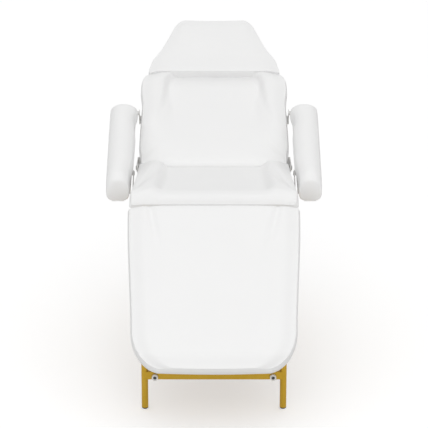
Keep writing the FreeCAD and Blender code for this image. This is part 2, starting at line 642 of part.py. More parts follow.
def make_arms():
    """Cranked arm bars and the links that keep the arms level as the back moves."""
    top = "Sizes.arm_pivot_drop"
    bottom = "(Sizes.arm_pivot_drop - Sizes.arm_bar_tall)"
    pad_front = f"({ARM_PAD_FRONT} + Sizes.arm_bar_setback)"
    pad_rear = f"({ARM_PAD_FRONT} + Sizes.arm_length)"
    half = "(Sizes.arm_bar_tall / 2)"
    bar_out = "(Sizes.arm_bar_inner + Sizes.arm_bar_thick)"
    link_out = "(Sizes.link_inner + Sizes.link_thick)"
    for name, side in SIDES.items():
        bar = new_body(f"arm_bar_{name}", ARM)
        span = across(side, "Sizes.arm_bar_inner", bar_out)
        outline = [(pad_front, top), (pad_front, "0"), (f"{pad_front} + {half}", bottom), (pad_rear, bottom),
                   (f"{ARM_REAR_Y} + {half} * 0.5", f"{ARM_REAR_Z} - {half} * 0.8"),
                   (f"{ARM_REAR_Y} - {half} * 0.5", f"{ARM_REAR_Z} + {half} * 0.8"),
                   (f"{pad_rear} - {half}", top)]
        prism(bar, "X", [outline], *span)
        prism(bar, "X", [circle(ARM_REAR_Y, ARM_REAR_Z, half)], *span)
        ends = across(side, "Sizes.arm_bar_inner", f"{bar_out} + Sizes.arm_flange_width")
        flange_rear = f"({pad_rear} - Sizes.arm_flange_setback)"
        flange = [(ends[0], pad_front), (ends[1], pad_front), (ends[1], flange_rear), (ends[0], flange_rear)]
        prism(bar, "Z", [flange], f"{top} - Sizes.plate_thick", top)
        cut(bar, "X", [circle(ARM_REAR_Y, ARM_REAR_Z, HOLE_RADIUS)], *span)
        shoulder = f"({link_out} + Sizes.layer_gap)"
        prism(bar, "X", [hexagon(0, 0, HEAD_RADIUS)], *across(side, shoulder, "Sizes.arm_bar_inner"))
        pivot(bar, side, "0", "0", "Sizes.link_inner - Sizes.layer_gap / 2", shoulder, head_out=False)
        link = new_body(f"arm_link_{name}", ARM_LINK)
        span = across(side, "Sizes.link_inner", link_out)
        reach = "Sizes.arm_link_length"
        prism(link, "X", [rectangle(f"{reach} / 2", "0", reach, "Sizes.link_width")], *span)
        for end in ("0", reach):
            prism(link, "X", [circle(end, 0, "Sizes.link_eye_radius")], *span)
        for end in ("0", reach):
            cut(link, "X", [circle(end, 0, HOLE_RADIUS)], *span)


def ratchet_strip(label, frame, direction, near, far):
    """Make a slotted strip with a row of round notches along its slot, which the stay's pin drops into."""
    strip = new_body(label, frame)
    span = (STRIP_FACE, f"{STRIP_FACE} + Sizes.stay_thick")
    tip = f"({far} + Sizes.lug_radius)"
    prism(strip, "X", [rectangle(f"{direction} * {tip} / 2", "0", tip, "Sizes.stay_width")], *span)
    prism(strip, "X", [circle(0, 0, "Sizes.stay_width / 2")], *span)
    cut(strip, "X", [circle(0, 0, HOLE_RADIUS)], *span)
    slot = "(Sizes.stay_pin_diameter + Sizes.stay_slot_play)"
    cut(strip, "X", [rectangle(f"{direction} * ({near} + {far}) / 2", "0", f"{far} - {near}", slot)], *span)
    first = f"{direction} * ({near} + Sizes.notch_start)"
    notch = cut(strip, "X", [circle(first, f"-{slot} / 4", "Sizes.notch_radius")], *span)
    row = strip.newObject("PartDesign::LinearPattern", f"{label}_notches")
    row.Originals = [notch]
    row.Direction = (notch.Profile[0], ["H_Axis"])
    row.Reversed = direction < 0
    row.setExpression("Length", "Sizes.notch_pitch * (Sizes.notch_count - 1)")
    row.setExpression("Occurrences", "Sizes.notch_count")
    strip.Tip = row
    doc.recompute()
    return strip


def stay_link(label, frame, direction, pin_reach):
    """Make a stay's upper bar, with the pin that rides in the strip's slot."""
    bar = new_body(label, frame)
    span = (f"-({STRIP_FACE} + Sizes.stay_thick)", f"-{STRIP_FACE}")
    length = f"({pin_reach} + Sizes.lug_radius)"
    prism(bar, "X", [rectangle(f"{direction} * {length} / 2", "0", length, "Sizes.stay_link_width")], *span)
    prism(bar, "X", [circle(0, 0, "Sizes.lug_radius")], *span)
    cut(bar, "X", [circle(0, 0, HOLE_RADIUS)], *span)
    pin_y = f"{direction} * {pin_reach}"
    strip_out = f"{STRIP_FACE} + Sizes.stay_thick + Sizes.layer_gap"
    prism(bar, "X", [circle(pin_y, 0, "Sizes.stay_pin_diameter / 2")], f"-{STRIP_FACE}", strip_out)
    head_out = f"{strip_out} + Sizes.bolt_head_depth"
    prism(bar, "X", [hexagon(pin_y, 0, "Sizes.lug_radius")], strip_out, head_out)
    return bar


def make_stays():
    """One ratchet stay under the back and one under the leg rest."""
    ratchet_strip("back_stay_strip", BACK_STRIP, 1, "Sizes.back_slot_near", "Sizes.back_slot_far")
    stay_link("back_stay_link", BACK_STAY_LINK, -1, "Sizes.back_pin_reach")
    ratchet_strip("leg_stay_strip", LEG_STRIP, -1, "Sizes.leg_slot_near", "Sizes.leg_slot_far")
    stay_link("leg_stay_link", LEG_STAY_LINK, 1, "Sizes.leg_pin_reach")


def soft_body(label, frame, sections):
    """Add a padded solid lofted through closed sections."""
    shape = Part.makeLoft(sections, True, True)
    piece = doc.addObject("Part::Feature", label)
    piece.Label = label
    piece.Shape = shape
    place(piece, frame)
    subparts.append(piece)


BEND_STEPS = 4


def bend(*points):
    """Return the corners of a few straight runs along the arc through three points, but for its last."""
    arc = Part.Arc(*[FreeCAD.Vector(*point) for point in points]).toShape()
    return arc.discretize(Number=BEND_STEPS + 1)[:-1]


def padded_section(y, half, low, high, recess, wing):
    """Return a cushion's section: flat below, drawn-in sides, a soft wing each side of a shallow middle."""
    tuck, swell = value("Sizes.side_tuck"), value("Sizes.crown")
    tall = high - low
    edge = half - tuck
    shoulder = high - 0.2 * tall
    floor = high - recess
    inside = half - wing
    crest = half - 0.45 * wing
    corners = bend((edge, y, low), (half, y, low + 0.45 * tall), (edge, y, shoulder))
    corners += bend((edge, y, shoulder), (crest, y, high), (inside, y, floor))
    corners += bend((inside, y, floor), (0, y, floor + swell), (-inside, y, floor))
    corners += bend((-inside, y, floor), (-crest, y, high), (-edge, y, shoulder))
    corners += bend((-edge, y, shoulder), (-half, y, low + 0.45 * tall), (-edge, y, low))
    return Part.makePolygon(corners + [FreeCAD.Vector(-edge, y, low), corners[0]])


def eased(start, end, here):
    """Return 0 before start, 1 after end, and a smooth step between them."""
    share = min(max((here - start) / (end - start), 0.0), 1.0)
    return share * share * (3 - 2 * share)


QUARTER_STEPS = (0.12, 0.35, 0.62, 1.0)


def make_seat_cushion():
    """Seat cushion: a full front roll, a wing down each side, and a dished middle that opens to the rear."""
    low = value("Sizes.board_thick") + value(HALF_TUBE)
    high = value("Sizes.pad_stack") + value(HALF_TUBE)
    roll = value("Sizes.seat_roll")
    depth = value("Sizes.hinge_spacing - Sizes.crease_gap")
    crease = value("Sizes.panel_crease")
    turns = [share * math.pi / 2 for share in QUARTER_STEPS]
    stations = [(roll * (1 - math.cos(turn)), high - roll * (1 - math.sin(turn))) for turn in turns]
    dished = (0.14, 0.17, 0.2, 0.23, 0.27, 0.4, 0.55, 0.7, 0.85, 1.0)
    stations += [(depth * share, high) for share in dished]
    sections = []
    for y, top in stations:
        narrowing = value("Sizes.seat_rear_narrowing") * eased(0, 0.9 * depth, y)
        half = value("Sizes.seat_half_width") - narrowing
        recess = value("Sizes.seat_recess") * eased(roll * 0.8, roll * 2.6, y) + crease
        sections.append(padded_section(y, half, low, top, recess, value("Sizes.wing_width")))
    soft_body("seat_cushion", Frame("Sizes.leg_hinge_y", LEG_HINGE_Z), sections)


def make_back_cushion():
    """Back cushion: a round nose about the hinge, side wings, and a panel that deepens towards the head."""
    low = value(BACK_UNDERSIDE) + value("Sizes.board_thick")
    high = value("Sizes.pad_stack") / 2
    nose, middle = (high - low) / 2, (high + low) / 2
    length = value("Sizes.back_panel_length")
    draw_in, spread = value("Sizes.shoulder_draw"), value("Sizes.shoulder_spread")
    half_width, nose_draw = value("Sizes.back_half_width"), value("Sizes.nose_draw")
    wing, crease = value("Sizes.wing_width"), value("Sizes.panel_crease")
    sections = []
    for share in QUARTER_STEPS:
        rise = nose * math.sin(share * math.pi / 2)
        y = -value("Sizes.back_nose") * math.cos(share * math.pi / 2)
        sections.append(padded_section(y, half_width - nose_draw, middle - rise, middle + rise, crease, wing))
    for share in (0.06, 0.12, 0.18, 0.24, 0.3, 0.36, 0.42, 0.48, 0.6, 0.7, 0.8):
        y = length * share
        recess = value("Sizes.back_recess") * eased(0, 0.6 * length, y) + crease
        half = half_width - nose_draw * (1 - eased(0, 0.25 * length, y))
        half += spread * eased(0.62 * length, 0.8 * length, y)
        sections.append(padded_section(y, half, low, high, recess, wing))
    for share in (0.3, 0.6, 0.85, 1.0):
        y = length - 2 * draw_in * (1 - share)
        half = half_width + spread - draw_in * (1 - math.sqrt(1 - share * share * 0.98))
        top = high - value("Sizes.shoulder_fall") * share
        sections.append(padded_section(y, half, low, top, value("Sizes.back_recess"), wing))
    soft_body("back_cushion", BACK, sections)


def make_head_cushion():
    """Head cushion: a raised pad that narrows towards the top, with a bevel down to the back panel."""
    low = value(BACK_UNDERSIDE) + value("Sizes.board_thick")
    high = value("Sizes.pad_stack / 2 + Sizes.head_rise")
    start = value("Sizes.back_panel_length + Sizes.head_gap")
    length = value("Sizes.head_length")
    bevel = value("Sizes.head_bevel")
    wide, narrow = value("Sizes.head_half_width"), value("Sizes.head_top_half_width")
    corner = value("Sizes.head_corner")
    neck, step = value("Sizes.head_neck"), value("Sizes.head_neck_step")
    slope = (wide - step - narrow) / (length - neck)
    bevel_fall, top_fall = value("Sizes.head_bevel_fall"), value("Sizes.head_top_fall")
    crease = value("Sizes.panel_crease")
    bevel_runs = [bevel * share for share in (0, 0.15, 0.3, 0.45, 0.6, 0.8, 1.0)]
    flat_runs = [length * share for share in (0.36, 0.46, 0.56, 0.66, 0.77)]
    corner_runs = [length - corner * share for share in (1.0, 0.6, 0.3, 0.12, 0)]
    sections = []
    for along in bevel_runs + flat_runs + corner_runs:
        half = wide - step * eased(0.9 * neck, 1.9 * neck, along) - slope * max(0.0, along - neck)
        round_off = max(0.0, (along - length + corner) / corner)
        half -= 0.8 * corner * (1 - math.sqrt(1 - 0.96 * round_off * round_off))
        rise = math.sin(min(along / bevel, 1.0) * math.pi / 2)
        top = high - bevel_fall * (1 - rise) - top_fall * round_off ** 2
        sections.append(padded_section(start + along, half, low, top, crease, 0.45 * half))
    soft_body("head_cushion", BACK, sections)


def make_leg_rest_cushion():
    """Leg rest cushion: it tapers to a broad round foot end, with two soft channels near the seat."""
    low = value("Sizes.board_thick") + value(HALF_TUBE)
    high = value("Sizes.pad_stack") + value(HALF_TUBE)
    start = value("Sizes.section_gap")
    length = value("Sizes.leg_rest_length")
    corner = value("Sizes.leg_rest_corner")
    sections = []
    channel = value("Sizes.channel_length")
    lip, draw_in = value("Sizes.leg_rest_lip"), value("Sizes.leg_rest_draw")
    straight = length - corner
    straight_shares = (0.06, 0.12, 0.18, 0.24, 0.3, 0.36, 0.42, 0.55, 0.7, 0.85, 1.0)
    steps = [start, 3 * start] + [straight * share for share in straight_shares]
    steps += [length - corner * (1 - share) for share in (0.2, 0.4, 0.55, 0.68, 0.8, 0.88, 0.95, 1.0)]
    for along in steps:
        taper = value("Sizes.leg_rest_taper") * eased(0.1 * length, 0.62 * length, along)
        half = value("Sizes.leg_rest_half_width") - taper
        round_off = max(0.0, (along - length + corner) / corner)
        half -= 1.35 * corner * (1 - math.sqrt(1 - 0.99 * round_off ** 2.4))
        half -= draw_in * (1 - eased(start, 10 * start, along))
        recess = value("Sizes.channel_depth") * (1 - eased(0.35 * channel, channel, along))
        top = high - lip * (1 - eased(start, 4 * start, along)) - lip * round_off ** 4
        wing = 0.45 * half
        if along < straight:
            wing = value("Sizes.channel_inset") + value("Sizes.channel_spread") * eased(0, channel, along)
        sections.append(padded_section(-along, half, low, top, recess + value("Sizes.panel_crease"), wing))
    soft_body("leg_rest_cushion", LEG_REST, sections)


def arm_section(y, inner, outer, low, high, inset):
    """Return an arm pad's section: a flat base, full sides and a crowned top."""
    tuck = value("Sizes.side_tuck")
    inner, outer, low, high = inner + inset, outer - inset, low + inset * 0.6, high - inset
    middle = (inner + outer) / 2
    waist = low + 0.45 * (high - low)
    edge = high - 0.24 * (high - low)
    left, right = min(inner, outer), max(inner, outer)
    corners = bend((right - tuck, y, low), (right, y, waist), (right - tuck, y, edge))
    corners += bend((right - tuck, y, edge), (middle, y, high), (left + tuck, y, edge))
    corners += bend((left + tuck, y, edge), (left, y, waist), (left + tuck, y, low))
    return Part.makePolygon(corners + [FreeCAD.Vector(left + tuck, y, low), corners[0]])


def make_arm_pads():
    """Arm pads: crowned bolsters, rounded in front, that spread at the rear beside the back."""
    front = value(ARM_PAD_FRONT)
    length = value("Sizes.arm_length")
    low = value("Sizes.arm_pivot_drop")
    high = low + value("Sizes.arm_thick")
    insets = {0.0: 12, 0.015: 4, 0.045: 0, 0.97: 0, 0.99: 4, 1.0: 11}
    for name, side in SIDES.items():
        sections = []
        for share in sorted(list(insets) + [0.08, 0.11, 0.3, 0.6, 0.82, 0.87, 0.92]):
            inner = value("Sizes.arm_inner") - value("Sizes.arm_flare") * eased(0.82, 0.97, share)
            outer = value("Sizes.arm_inner + Sizes.arm_front_width") + value("Sizes.arm_rear_spread") * share
            ends = sorted((side * inner, side * outer))
            base = low - value("Sizes.arm_nose_drop") * (1 - eased(0.045, 0.11, share))
            sections.append(arm_section(front + length * share, *ends, base, high, insets.get(share, 0)))
        soft_body(f"arm_pad_{name}", ARM, sections)


def export():
    """Check every object, then write one file for each sub-part."""
    doc.recompute()
    for item in doc.Objects:
        if {"Invalid", "Error"} & set(item.State):
            raise RuntimeError(f"{item.Label}: {item.State}")
    for piece in subparts:
        shape = piece.Shape
        if shape.isNull() or not shape.isValid() or len(shape.Solids) != 1:
            raise RuntimeError(f"{piece.Label}: not one valid solid")
    os.makedirs("parts", exist_ok=True)
    for piece in subparts:
        piece.Shape.exportStep(f"parts/{piece.Label}.step")
    print(f"{len(subparts)} sub-parts")


make_base()
make_stay_tubes()
make_buffers()
make_seat()
make_back()
make_leg_rest()
make_arms()
make_stays()
make_seat_cushion()
make_back_cushion()
make_head_cushion()
make_leg_rest_cushion()
make_arm_pads()
export()
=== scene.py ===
import json
import logging
import math
from dataclasses import dataclass
from enum import Enum

import bpy
import numpy as np
from mathutils import Matrix, Vector


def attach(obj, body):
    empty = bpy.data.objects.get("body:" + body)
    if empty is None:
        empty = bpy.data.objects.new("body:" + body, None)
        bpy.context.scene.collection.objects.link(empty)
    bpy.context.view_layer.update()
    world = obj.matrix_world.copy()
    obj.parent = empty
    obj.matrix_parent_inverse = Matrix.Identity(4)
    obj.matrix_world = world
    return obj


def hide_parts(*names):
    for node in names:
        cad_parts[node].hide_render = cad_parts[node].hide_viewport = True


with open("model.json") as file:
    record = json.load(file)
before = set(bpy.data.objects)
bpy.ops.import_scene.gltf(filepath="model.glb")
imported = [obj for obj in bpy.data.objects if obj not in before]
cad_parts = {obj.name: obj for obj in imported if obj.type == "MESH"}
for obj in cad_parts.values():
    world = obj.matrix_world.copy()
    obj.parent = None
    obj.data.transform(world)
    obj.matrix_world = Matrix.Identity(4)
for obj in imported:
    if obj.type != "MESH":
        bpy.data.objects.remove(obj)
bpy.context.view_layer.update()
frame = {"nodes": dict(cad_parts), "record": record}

LOG = logging.getLogger("treatment_chair")

Array = np.ndarray
Piece = bpy.types.Object

# Shares beyond which a point of a cushion counts as on its top, on its rim across, or at an end.
TOP_SHARE = 0.999
RIM_SHARE = 0.9999
NIL = 1e-6


class Side(Enum):
    """The two sides of the chair, with the sign of X."""

    LEFT = -1
    RIGHT = 1

    @property
    def word(self) -> str:
        """The side's word in the names of pieces."""
        return self.name.lower()


class End(Enum):
    """The two ends of a padded piece or a tube, along its length."""

    START = 0.0
    FINISH = 1.0


@dataclass(frozen=True)
class Tilt:
    """A place on the chair: a hinge line along X, and a turn about it.

    Args:
        y: place of the line along the chair, in metres.
        z: height of the line, in metres.
        degrees: turn about the line.
    """

    y: float
    z: float
    degrees: float = 0.0

    def matrix(self) -> Matrix:
        """Return the transform from this place to the chair's own frame."""
        return Matrix.Translation((0.0, self.y, self.z)) @ Matrix.Rotation(math.radians(self.degrees), 4, "X")

    def from_chair(self, points: Array) -> Array:
        """Move points from the chair's own frame to this place."""
        turn = np.array(self.matrix())
        return (points - turn[:3, 3]) @ turn[:3, :3]

    def to_chair(self, points: Array) -> Array:
        """Move points from this place to the chair's own frame.

        Args:
            points: rows of x, y, z in this place.

        Returns:
            The same points in the chair's frame.
        """
        turn = np.array(self.matrix())
        return points @ turn[:3, :3].T + turn[:3, 3]


def hinge_line(joint: str) -> tuple[float, float]:
    """Return where a hinge of the frame crosses the chair's middle, as y and z."""
    entries = {entry["name"]: entry["pos_m"] for entry in frame["record"]["behaviour"]["joints"]}
    return entries[joint][1], entries[joint][2]


LEG_HINGE = hinge_line("leg_rest_lift")
BACK_HINGE = hinge_line("back_recline")
ARM_REAR = hinge_line("arm_left_swing")
LINK_FOOT = hinge_line("arm_link_left_swing")
SEAT_PLACE = Tilt(*LEG_HINGE)
LEG_REST_PLACE = Tilt(*LEG_HINGE, 52.0)
BACK_PLACE = Tilt(*BACK_HINGE, 33.0)
ARM_PLACE = Tilt(ARM_REAR[0] - BACK_HINGE[0] + LINK_FOOT[0], ARM_REAR[1] - BACK_HINGE[1] + LINK_FOOT[1], 20.0)


def ease(start: float, end: float, here: Array) -> Array:
    """Return a smooth step from 0 at start to 1 at end.

    Args:
        start: where the step begins.
        end: where the step is done.
        here: where it is read.

    Returns:
        Shares from 0 to 1.
    """
    share = np.clip((here - start) / (end - start), 0.0, 1.0)
    return share * share * (3.0 - 2.0 * share)


def soft_ramp(start: float, here: Array, bend: float = 0.012) -> Array:
    """Return how far places lie past a start, with a soft bend there instead of a corner."""
    past = here - start
    return 0.5 * (past + np.sqrt(past * past + bend * bend))


def gather(share: Array, amount: float = 0.4) -> Array:
    """Draw evenly spaced places from -1 to 1 closer together towards both ends.

    Args:
        share: places from -1 to 1.
        amount: 0 leaves them as they are.

    Returns:
        The new places, from -1 to 1.
    """
    return (1.0 - amount) * share + amount * np.sin(share * math.pi / 2.0)


def deselect() -> None:
    """Leave edit mode and deselect everything."""
    if bpy.context.object and bpy.context.object.mode != "OBJECT":
        bpy.ops.object.mode_set(mode="OBJECT")
    bpy.ops.object.select_all(action="DESELECT")


def choose(piece: Piece) -> None:
    """Make one piece the active and only selected one."""
    deselect()
    piece.select_set(True)
    bpy.context.view_layer.objects.active = piece


def name_piece(name: str) -> Piece:
    """Name the active piece and its mesh, and return it."""
    piece = bpy.context.object
    piece.name = name
    piece.data.name = name
    return piece


def settle(piece: Piece) -> None:
    """Put a piece's place, turn and size into its mesh."""
    choose(piece)
    bpy.ops.object.transform_apply(location=True, rotation=True, scale=True)


def points_of(piece: Piece) -> Array:
    """Return a mesh's points as rows of x, y, z."""
    flat = np.empty(len(piece.data.vertices) * 3)
    piece.data.vertices.foreach_get("co", flat)
    return flat.reshape(-1, 3)


def move_points(piece: Piece, points: Array) -> None:
    """Give a mesh's points new places."""
    piece.data.vertices.foreach_set("co", np.ascontiguousarray(points).ravel())
    piece.data.update()


def apply_modifier(piece: Piece, kind: str, **settings: object) -> None:
    """Add a modifier with the given settings and apply it.

    Args:
        piece: the piece to change.
        kind: the modifier's type.
        settings: the modifier's properties.
    """
    choose(piece)
    bpy.ops.object.modifier_add(type=kind)
    modifier = piece.modifiers[-1]
    for key, setting in settings.items():
        setattr(modifier, key, setting)
    bpy.ops.object.modifier_apply(modifier=modifier.name)


def smooth(piece: Piece, degrees: float = 35.0) -> None:
    """Shade a piece smooth, apart from its sharp edges."""
    choose(piece)
    bpy.ops.object.shade_smooth_by_angle(angle=math.radians(degrees))


class Nodes:
    """A node tree that is laid out in code."""

    def __init__(self, tree: bpy.types.NodeTree) -> None:
        """Start with an empty tree."""
        self.tree = tree
        tree.nodes.clear()

    def add(self, kind: str, **inputs: object) -> bpy.types.Node:
        """Add a node and set or link its inputs.

        Args:
            kind: the node's type.
            inputs: input names, with underscores for spaces, to values or output sockets.

        Returns:
            The new node.
        """
        node = self.tree.nodes.new(kind)
        for key, given in inputs.items():
            self.feed(node.inputs[key.replace("_", " ")], given)
        return node

    def feed(self, socket: bpy.types.NodeSocket, given: object) -> None:
        """Link an output to a socket, or set the socket's value."""
        if isinstance(given, bpy.types.NodeSocket):
            self.tree.links.new(given, socket)
        else:
            socket.default_value = given

    def math(self, operation: str, first: object, second: object = 0.0) -> bpy.types.NodeSocket:
        """Add a math node and return its output."""
        node = self.tree.nodes.new("ShaderNodeMath")
        node.operation = operation
        self.feed(node.inputs[0], first)
        self.feed(node.inputs[1], second)
        return node.outputs[0]

    def mix(self, share: object, first: object, second: object) -> bpy.types.NodeSocket:
        """Mix two colours and return the output."""
        node = self.tree.nodes.new("ShaderNodeMix")
        node.data_type = "RGBA"
        self.feed(node.inputs[0], share)
        self.feed(node.inputs[6], first)
        self.feed(node.inputs[7], second)
        return node.outputs[2]

    def span(self, given: object, low: float, high: float) -> bpy.types.NodeSocket:
        """Spread a value from 0 to 1 over low to high."""
        node = self.tree.nodes.new("ShaderNodeMapRange")
        self.feed(node.inputs["Value"], given)
        node.inputs["To Min"].default_value = low
        node.inputs["To Max"].default_value = high
        return node.outputs["Result"]

    def seen(self) -> bpy.types.NodeSocket:
        """Return 1 for what is seen straight, mirrored or through glass, and 0 for what only casts light."""
        paths = self.add("ShaderNodeLightPath").outputs
        return self.math("MAXIMUM", paths["Is Camera Ray"],
                         self.math("MAXIMUM", paths["Is Glossy Ray"], paths["Is Transmission Ray"]))


def new_group(name: str, inputs: dict[str, float], outputs: list[str]) -> tuple[bpy.types.NodeTree, Nodes]:
    """Start a shared node group with value sockets.

    Args:
        name: the group's name.
        inputs: names of the inputs and their default values.
        outputs: names of the outputs.

    Returns:
        The group and its nodes.
    """
    group = bpy.data.node_groups.new(name, "ShaderNodeTree")
    for key, default in inputs.items():
        socket = group.interface.new_socket(key, in_out="INPUT", socket_type="NodeSocketFloat")
        socket.default_value = default
    for key in outputs:
        group.interface.new_socket(key, in_out="OUTPUT", socket_type="NodeSocketFloat")
    return group, Nodes(group)


def grain_group() -> bpy.types.NodeTree:
    """Build the pebbled grain of a coated surface: a height, and a slow unevenness."""
    group, nodes = new_group("pebbled_grain", {"Size": 900.0, "Patch": 6.0}, ["Height", "Unevenness"])
    given = nodes.add("NodeGroupInput")
    place = nodes.add("ShaderNodeTexCoord").outputs["Object"]
    cells = nodes.add("ShaderNodeTexVoronoi", Vector=place, Scale=given.outputs["Size"], Randomness=1.0)
    cells.feature = "SMOOTH_F1"
    fine = nodes.math("MULTIPLY", given.outputs["Size"], 1.7)
    ripple = nodes.add("ShaderNodeTexNoise", Vector=place, Scale=fine, Detail=3.0, Roughness=0.55)
    height = nodes.math("ADD", cells.outputs["Distance"], nodes.math("MULTIPLY", ripple.outputs["Fac"], 0.5))
    patch = nodes.add("ShaderNodeTexNoise", Vector=place, Scale=given.outputs["Patch"], Detail=4.0,
                      Roughness=0.6)
    nodes.add("NodeGroupOutput", Height=height, Unevenness=patch.outputs["Fac"])
    return group


def wear_group() -> bpy.types.NodeTree:
    """Build the light scuffs and dust that handling leaves on a hard surface."""
    group, nodes = new_group("handling_wear", {"Scale": 14.0, "Amount": 0.3}, ["Scuff", "Dust"])
    given = nodes.add("NodeGroupInput")
    place = nodes.add("ShaderNodeTexCoord").outputs["Object"]
    broad = nodes.add("ShaderNodeTexNoise", Vector=place, Scale=given.outputs["Scale"], Detail=6.0,
                      Roughness=0.65)
    finer = nodes.math("MULTIPLY", given.outputs["Scale"], 9.0)
    speck = nodes.add("ShaderNodeTexNoise", Vector=place, Scale=finer, Detail=2.0, Roughness=0.5)
    scuff = nodes.math("MULTIPLY", nodes.math("MULTIPLY", broad.outputs["Fac"], speck.outputs["Fac"]),
                       given.outputs["Amount"])
    dust = nodes.math("MULTIPLY", broad.outputs["Fac"], given.outputs["Amount"])
    nodes.add("NodeGroupOutput", Scuff=scuff, Dust=dust)
    return group


GRAIN = grain_group()
WEAR = wear_group()


def shared(nodes: Nodes, group: bpy.types.NodeTree, **inputs: float) -> bpy.types.Node:
    """Place a shared group in a material with its own values."""
    node = nodes.tree.nodes.new("ShaderNodeGroup")
    node.node_tree = group
    for key, given in inputs.items():
        node.inputs[key].default_value = given
    return node


def start_material(name: str) -> tuple[bpy.types.Material, Nodes]:
    """Make an empty node material."""
    material = bpy.data.materials.new(name)
    material.use_nodes = True
    return material, Nodes(material.node_tree)


def end_material(nodes: Nodes, shader: bpy.types.Node) -> None:
    """Join a shader to the material's output."""
    nodes.add("ShaderNodeOutputMaterial", Surface=shader.outputs[0])


def surface(nodes: Nodes, height: bpy.types.NodeSocket, strength: float, depth: float,
            **inputs: object) -> None:
    """End a material with a bumped surface.

    Args:
        nodes: the material's nodes.
        height: the relief.
        strength: how strongly the relief shows.
        depth: how deep the relief is, in metres.
        inputs: the shader's inputs, as for Nodes.add.
    """
    bump = nodes.add("ShaderNodeBump", Height=height, Strength=strength, Distance=depth)
    end_material(nodes, nodes.add("ShaderNodeBsdfPrincipled", Normal=bump.outputs["Normal"], **inputs))


Colour = tuple[float, float, float, float]


@dataclass(frozen=True)
class Vinyl:
    """White upholstery vinyl: satin, with a fine pebbled grain."""

    name: str = "white_vinyl"
    colour: Colour = (0.87, 0.87, 0.868, 1.0)
    shade: Colour = (0.845, 0.845, 0.842, 1.0)
    rough: tuple[float, float] = (0.42, 0.56)
    grain_size: float = 850.0
    grain_depth: float = 0.00025

    def material(self) -> bpy.types.Material:
        """Build the finish."""
        material, nodes = start_material(self.name)
        grain = shared(nodes, GRAIN, Size=self.grain_size, Patch=5.0)
        colour = nodes.mix(grain.outputs["Unevenness"], self.colour, self.shade)
        rough = nodes.span(grain.outputs["Unevenness"], *self.rough)
        surface(nodes, grain.outputs["Height"], 0.35, self.grain_depth, Base_Color=colour, Roughness=rough,
                Specular_IOR_Level=0.4)
        return material


@dataclass(frozen=True)
class CoatedSteel:
    """Steel with a coloured coat: a smooth lacquer with a slight orange peel and light scuffs."""

    name: str
    colour: Colour
    worn: Colour
    metallic: float
    rough: tuple[float, float]
    coat: float

    def material(self) -> bpy.types.Material:
        """Build the finish."""
        material, nodes = start_material(self.name)
        wear = shared(nodes, WEAR, Scale=16.0, Amount=0.9)
        peel = shared(nodes, GRAIN, Size=420.0, Patch=22.0)
        colour = nodes.mix(wear.outputs["Scuff"], self.colour, self.worn)
        rough = nodes.span(peel.outputs["Unevenness"], *self.rough)
        surface(nodes, peel.outputs["Height"], 0.12, 0.0002, Base_Color=colour, Roughness=rough,
                Metallic=self.metallic, Coat_Weight=self.coat, Coat_Roughness=0.2)
        return material


@dataclass(frozen=True)
class Moulded:
    """A moulded plastic or rubber: matt, finely textured, a little dusty."""

    name: str
    colour: Colour
    dust: Colour
    rough: tuple[float, float]

    def material(self) -> bpy.types.Material:
        """Build the finish."""
        material, nodes = start_material(self.name)
        wear = shared(nodes, WEAR, Scale=30.0, Amount=0.35)
        texture = shared(nodes, GRAIN, Size=1600.0, Patch=40.0)
        colour = nodes.mix(wear.outputs["Dust"], self.colour, self.dust)
        rough = nodes.span(texture.outputs["Unevenness"], *self.rough)
        surface(nodes, texture.outputs["Height"], 0.2, 0.00015, Base_Color=colour, Roughness=rough)
        return material


@dataclass(frozen=True)
class Plywood:
    """Bare plywood: long grain on the face, and thin dark plies at the edge."""

    name: str
    place: Tilt
    early: Colour = (0.62, 0.44, 0.26, 1.0)
    late: Colour = (0.44, 0.28, 0.14, 1.0)
    ply: float = 0.0024

    def material(self) -> bpy.types.Material:
        """Build the finish, with its grain along the board."""
        material, nodes = start_material(self.name)
        place = nodes.add("ShaderNodeTexCoord").outputs["Object"]
        laid = nodes.add("ShaderNodeMapping", Vector=place)
        laid.vector_type = "TEXTURE"
        laid.inputs["Location"].default_value = (0.0, self.place.y, self.place.z)
        laid.inputs["Rotation"].default_value = (math.radians(self.place.degrees), 0.0, 0.0)
        drawn = nodes.add("ShaderNodeMapping", Vector=laid.outputs["Vector"])
        drawn.inputs["Scale"].default_value = (26.0, 1.6, 26.0)
        grain = nodes.add("ShaderNodeTexNoise", Vector=drawn.outputs["Vector"], Scale=3.0, Detail=8.0,
                          Roughness=0.6, Distortion=0.6)
        plies = nodes.add("ShaderNodeTexWave", Vector=laid.outputs["Vector"], Scale=math.pi / self.ply / 20.0)
        plies.bands_direction = "Z"
        streak = nodes.math("MULTIPLY", grain.outputs["Fac"], nodes.span(plies.outputs["Fac"], 0.75, 1.15))
        colour = nodes.mix(streak, self.early, self.late)
        rough = nodes.span(grain.outputs["Fac"], 0.55, 0.8)
        surface(nodes, grain.outputs["Fac"], 0.2, 0.0004, Base_Color=colour, Roughness=rough)
        return material


@dataclass(frozen=True)
class PaleFloor:
    """The plain pale floor: it keeps a soft shadow and reads white where nothing stands on it."""

    name: str = "pale_floor"
    colour: Colour = (0.74, 0.74, 0.74, 1.0)
    glow: float = 0.36

    def material(self) -> bpy.types.Material:
        """Build the finish."""
        material, nodes = start_material(self.name)
        seen = nodes.seen()
        light = nodes.add("ShaderNodeEmission", Strength=nodes.math("MULTIPLY", seen, self.glow))
        cover = nodes.add("ShaderNodeBsdfDiffuse", Color=self.colour)
        both = nodes.tree.nodes.new("ShaderNodeAddShader")
        nodes.feed(both.inputs[0], cover.outputs[0])
        nodes.feed(both.inputs[1], light.outputs[0])
        end_material(nodes, both)
        return material


def put_on(piece: Piece, finish: bpy.types.Material) -> None:
    """Give a piece one finish all over."""
    piece.data.materials.clear()
    piece.data.materials.append(finish)


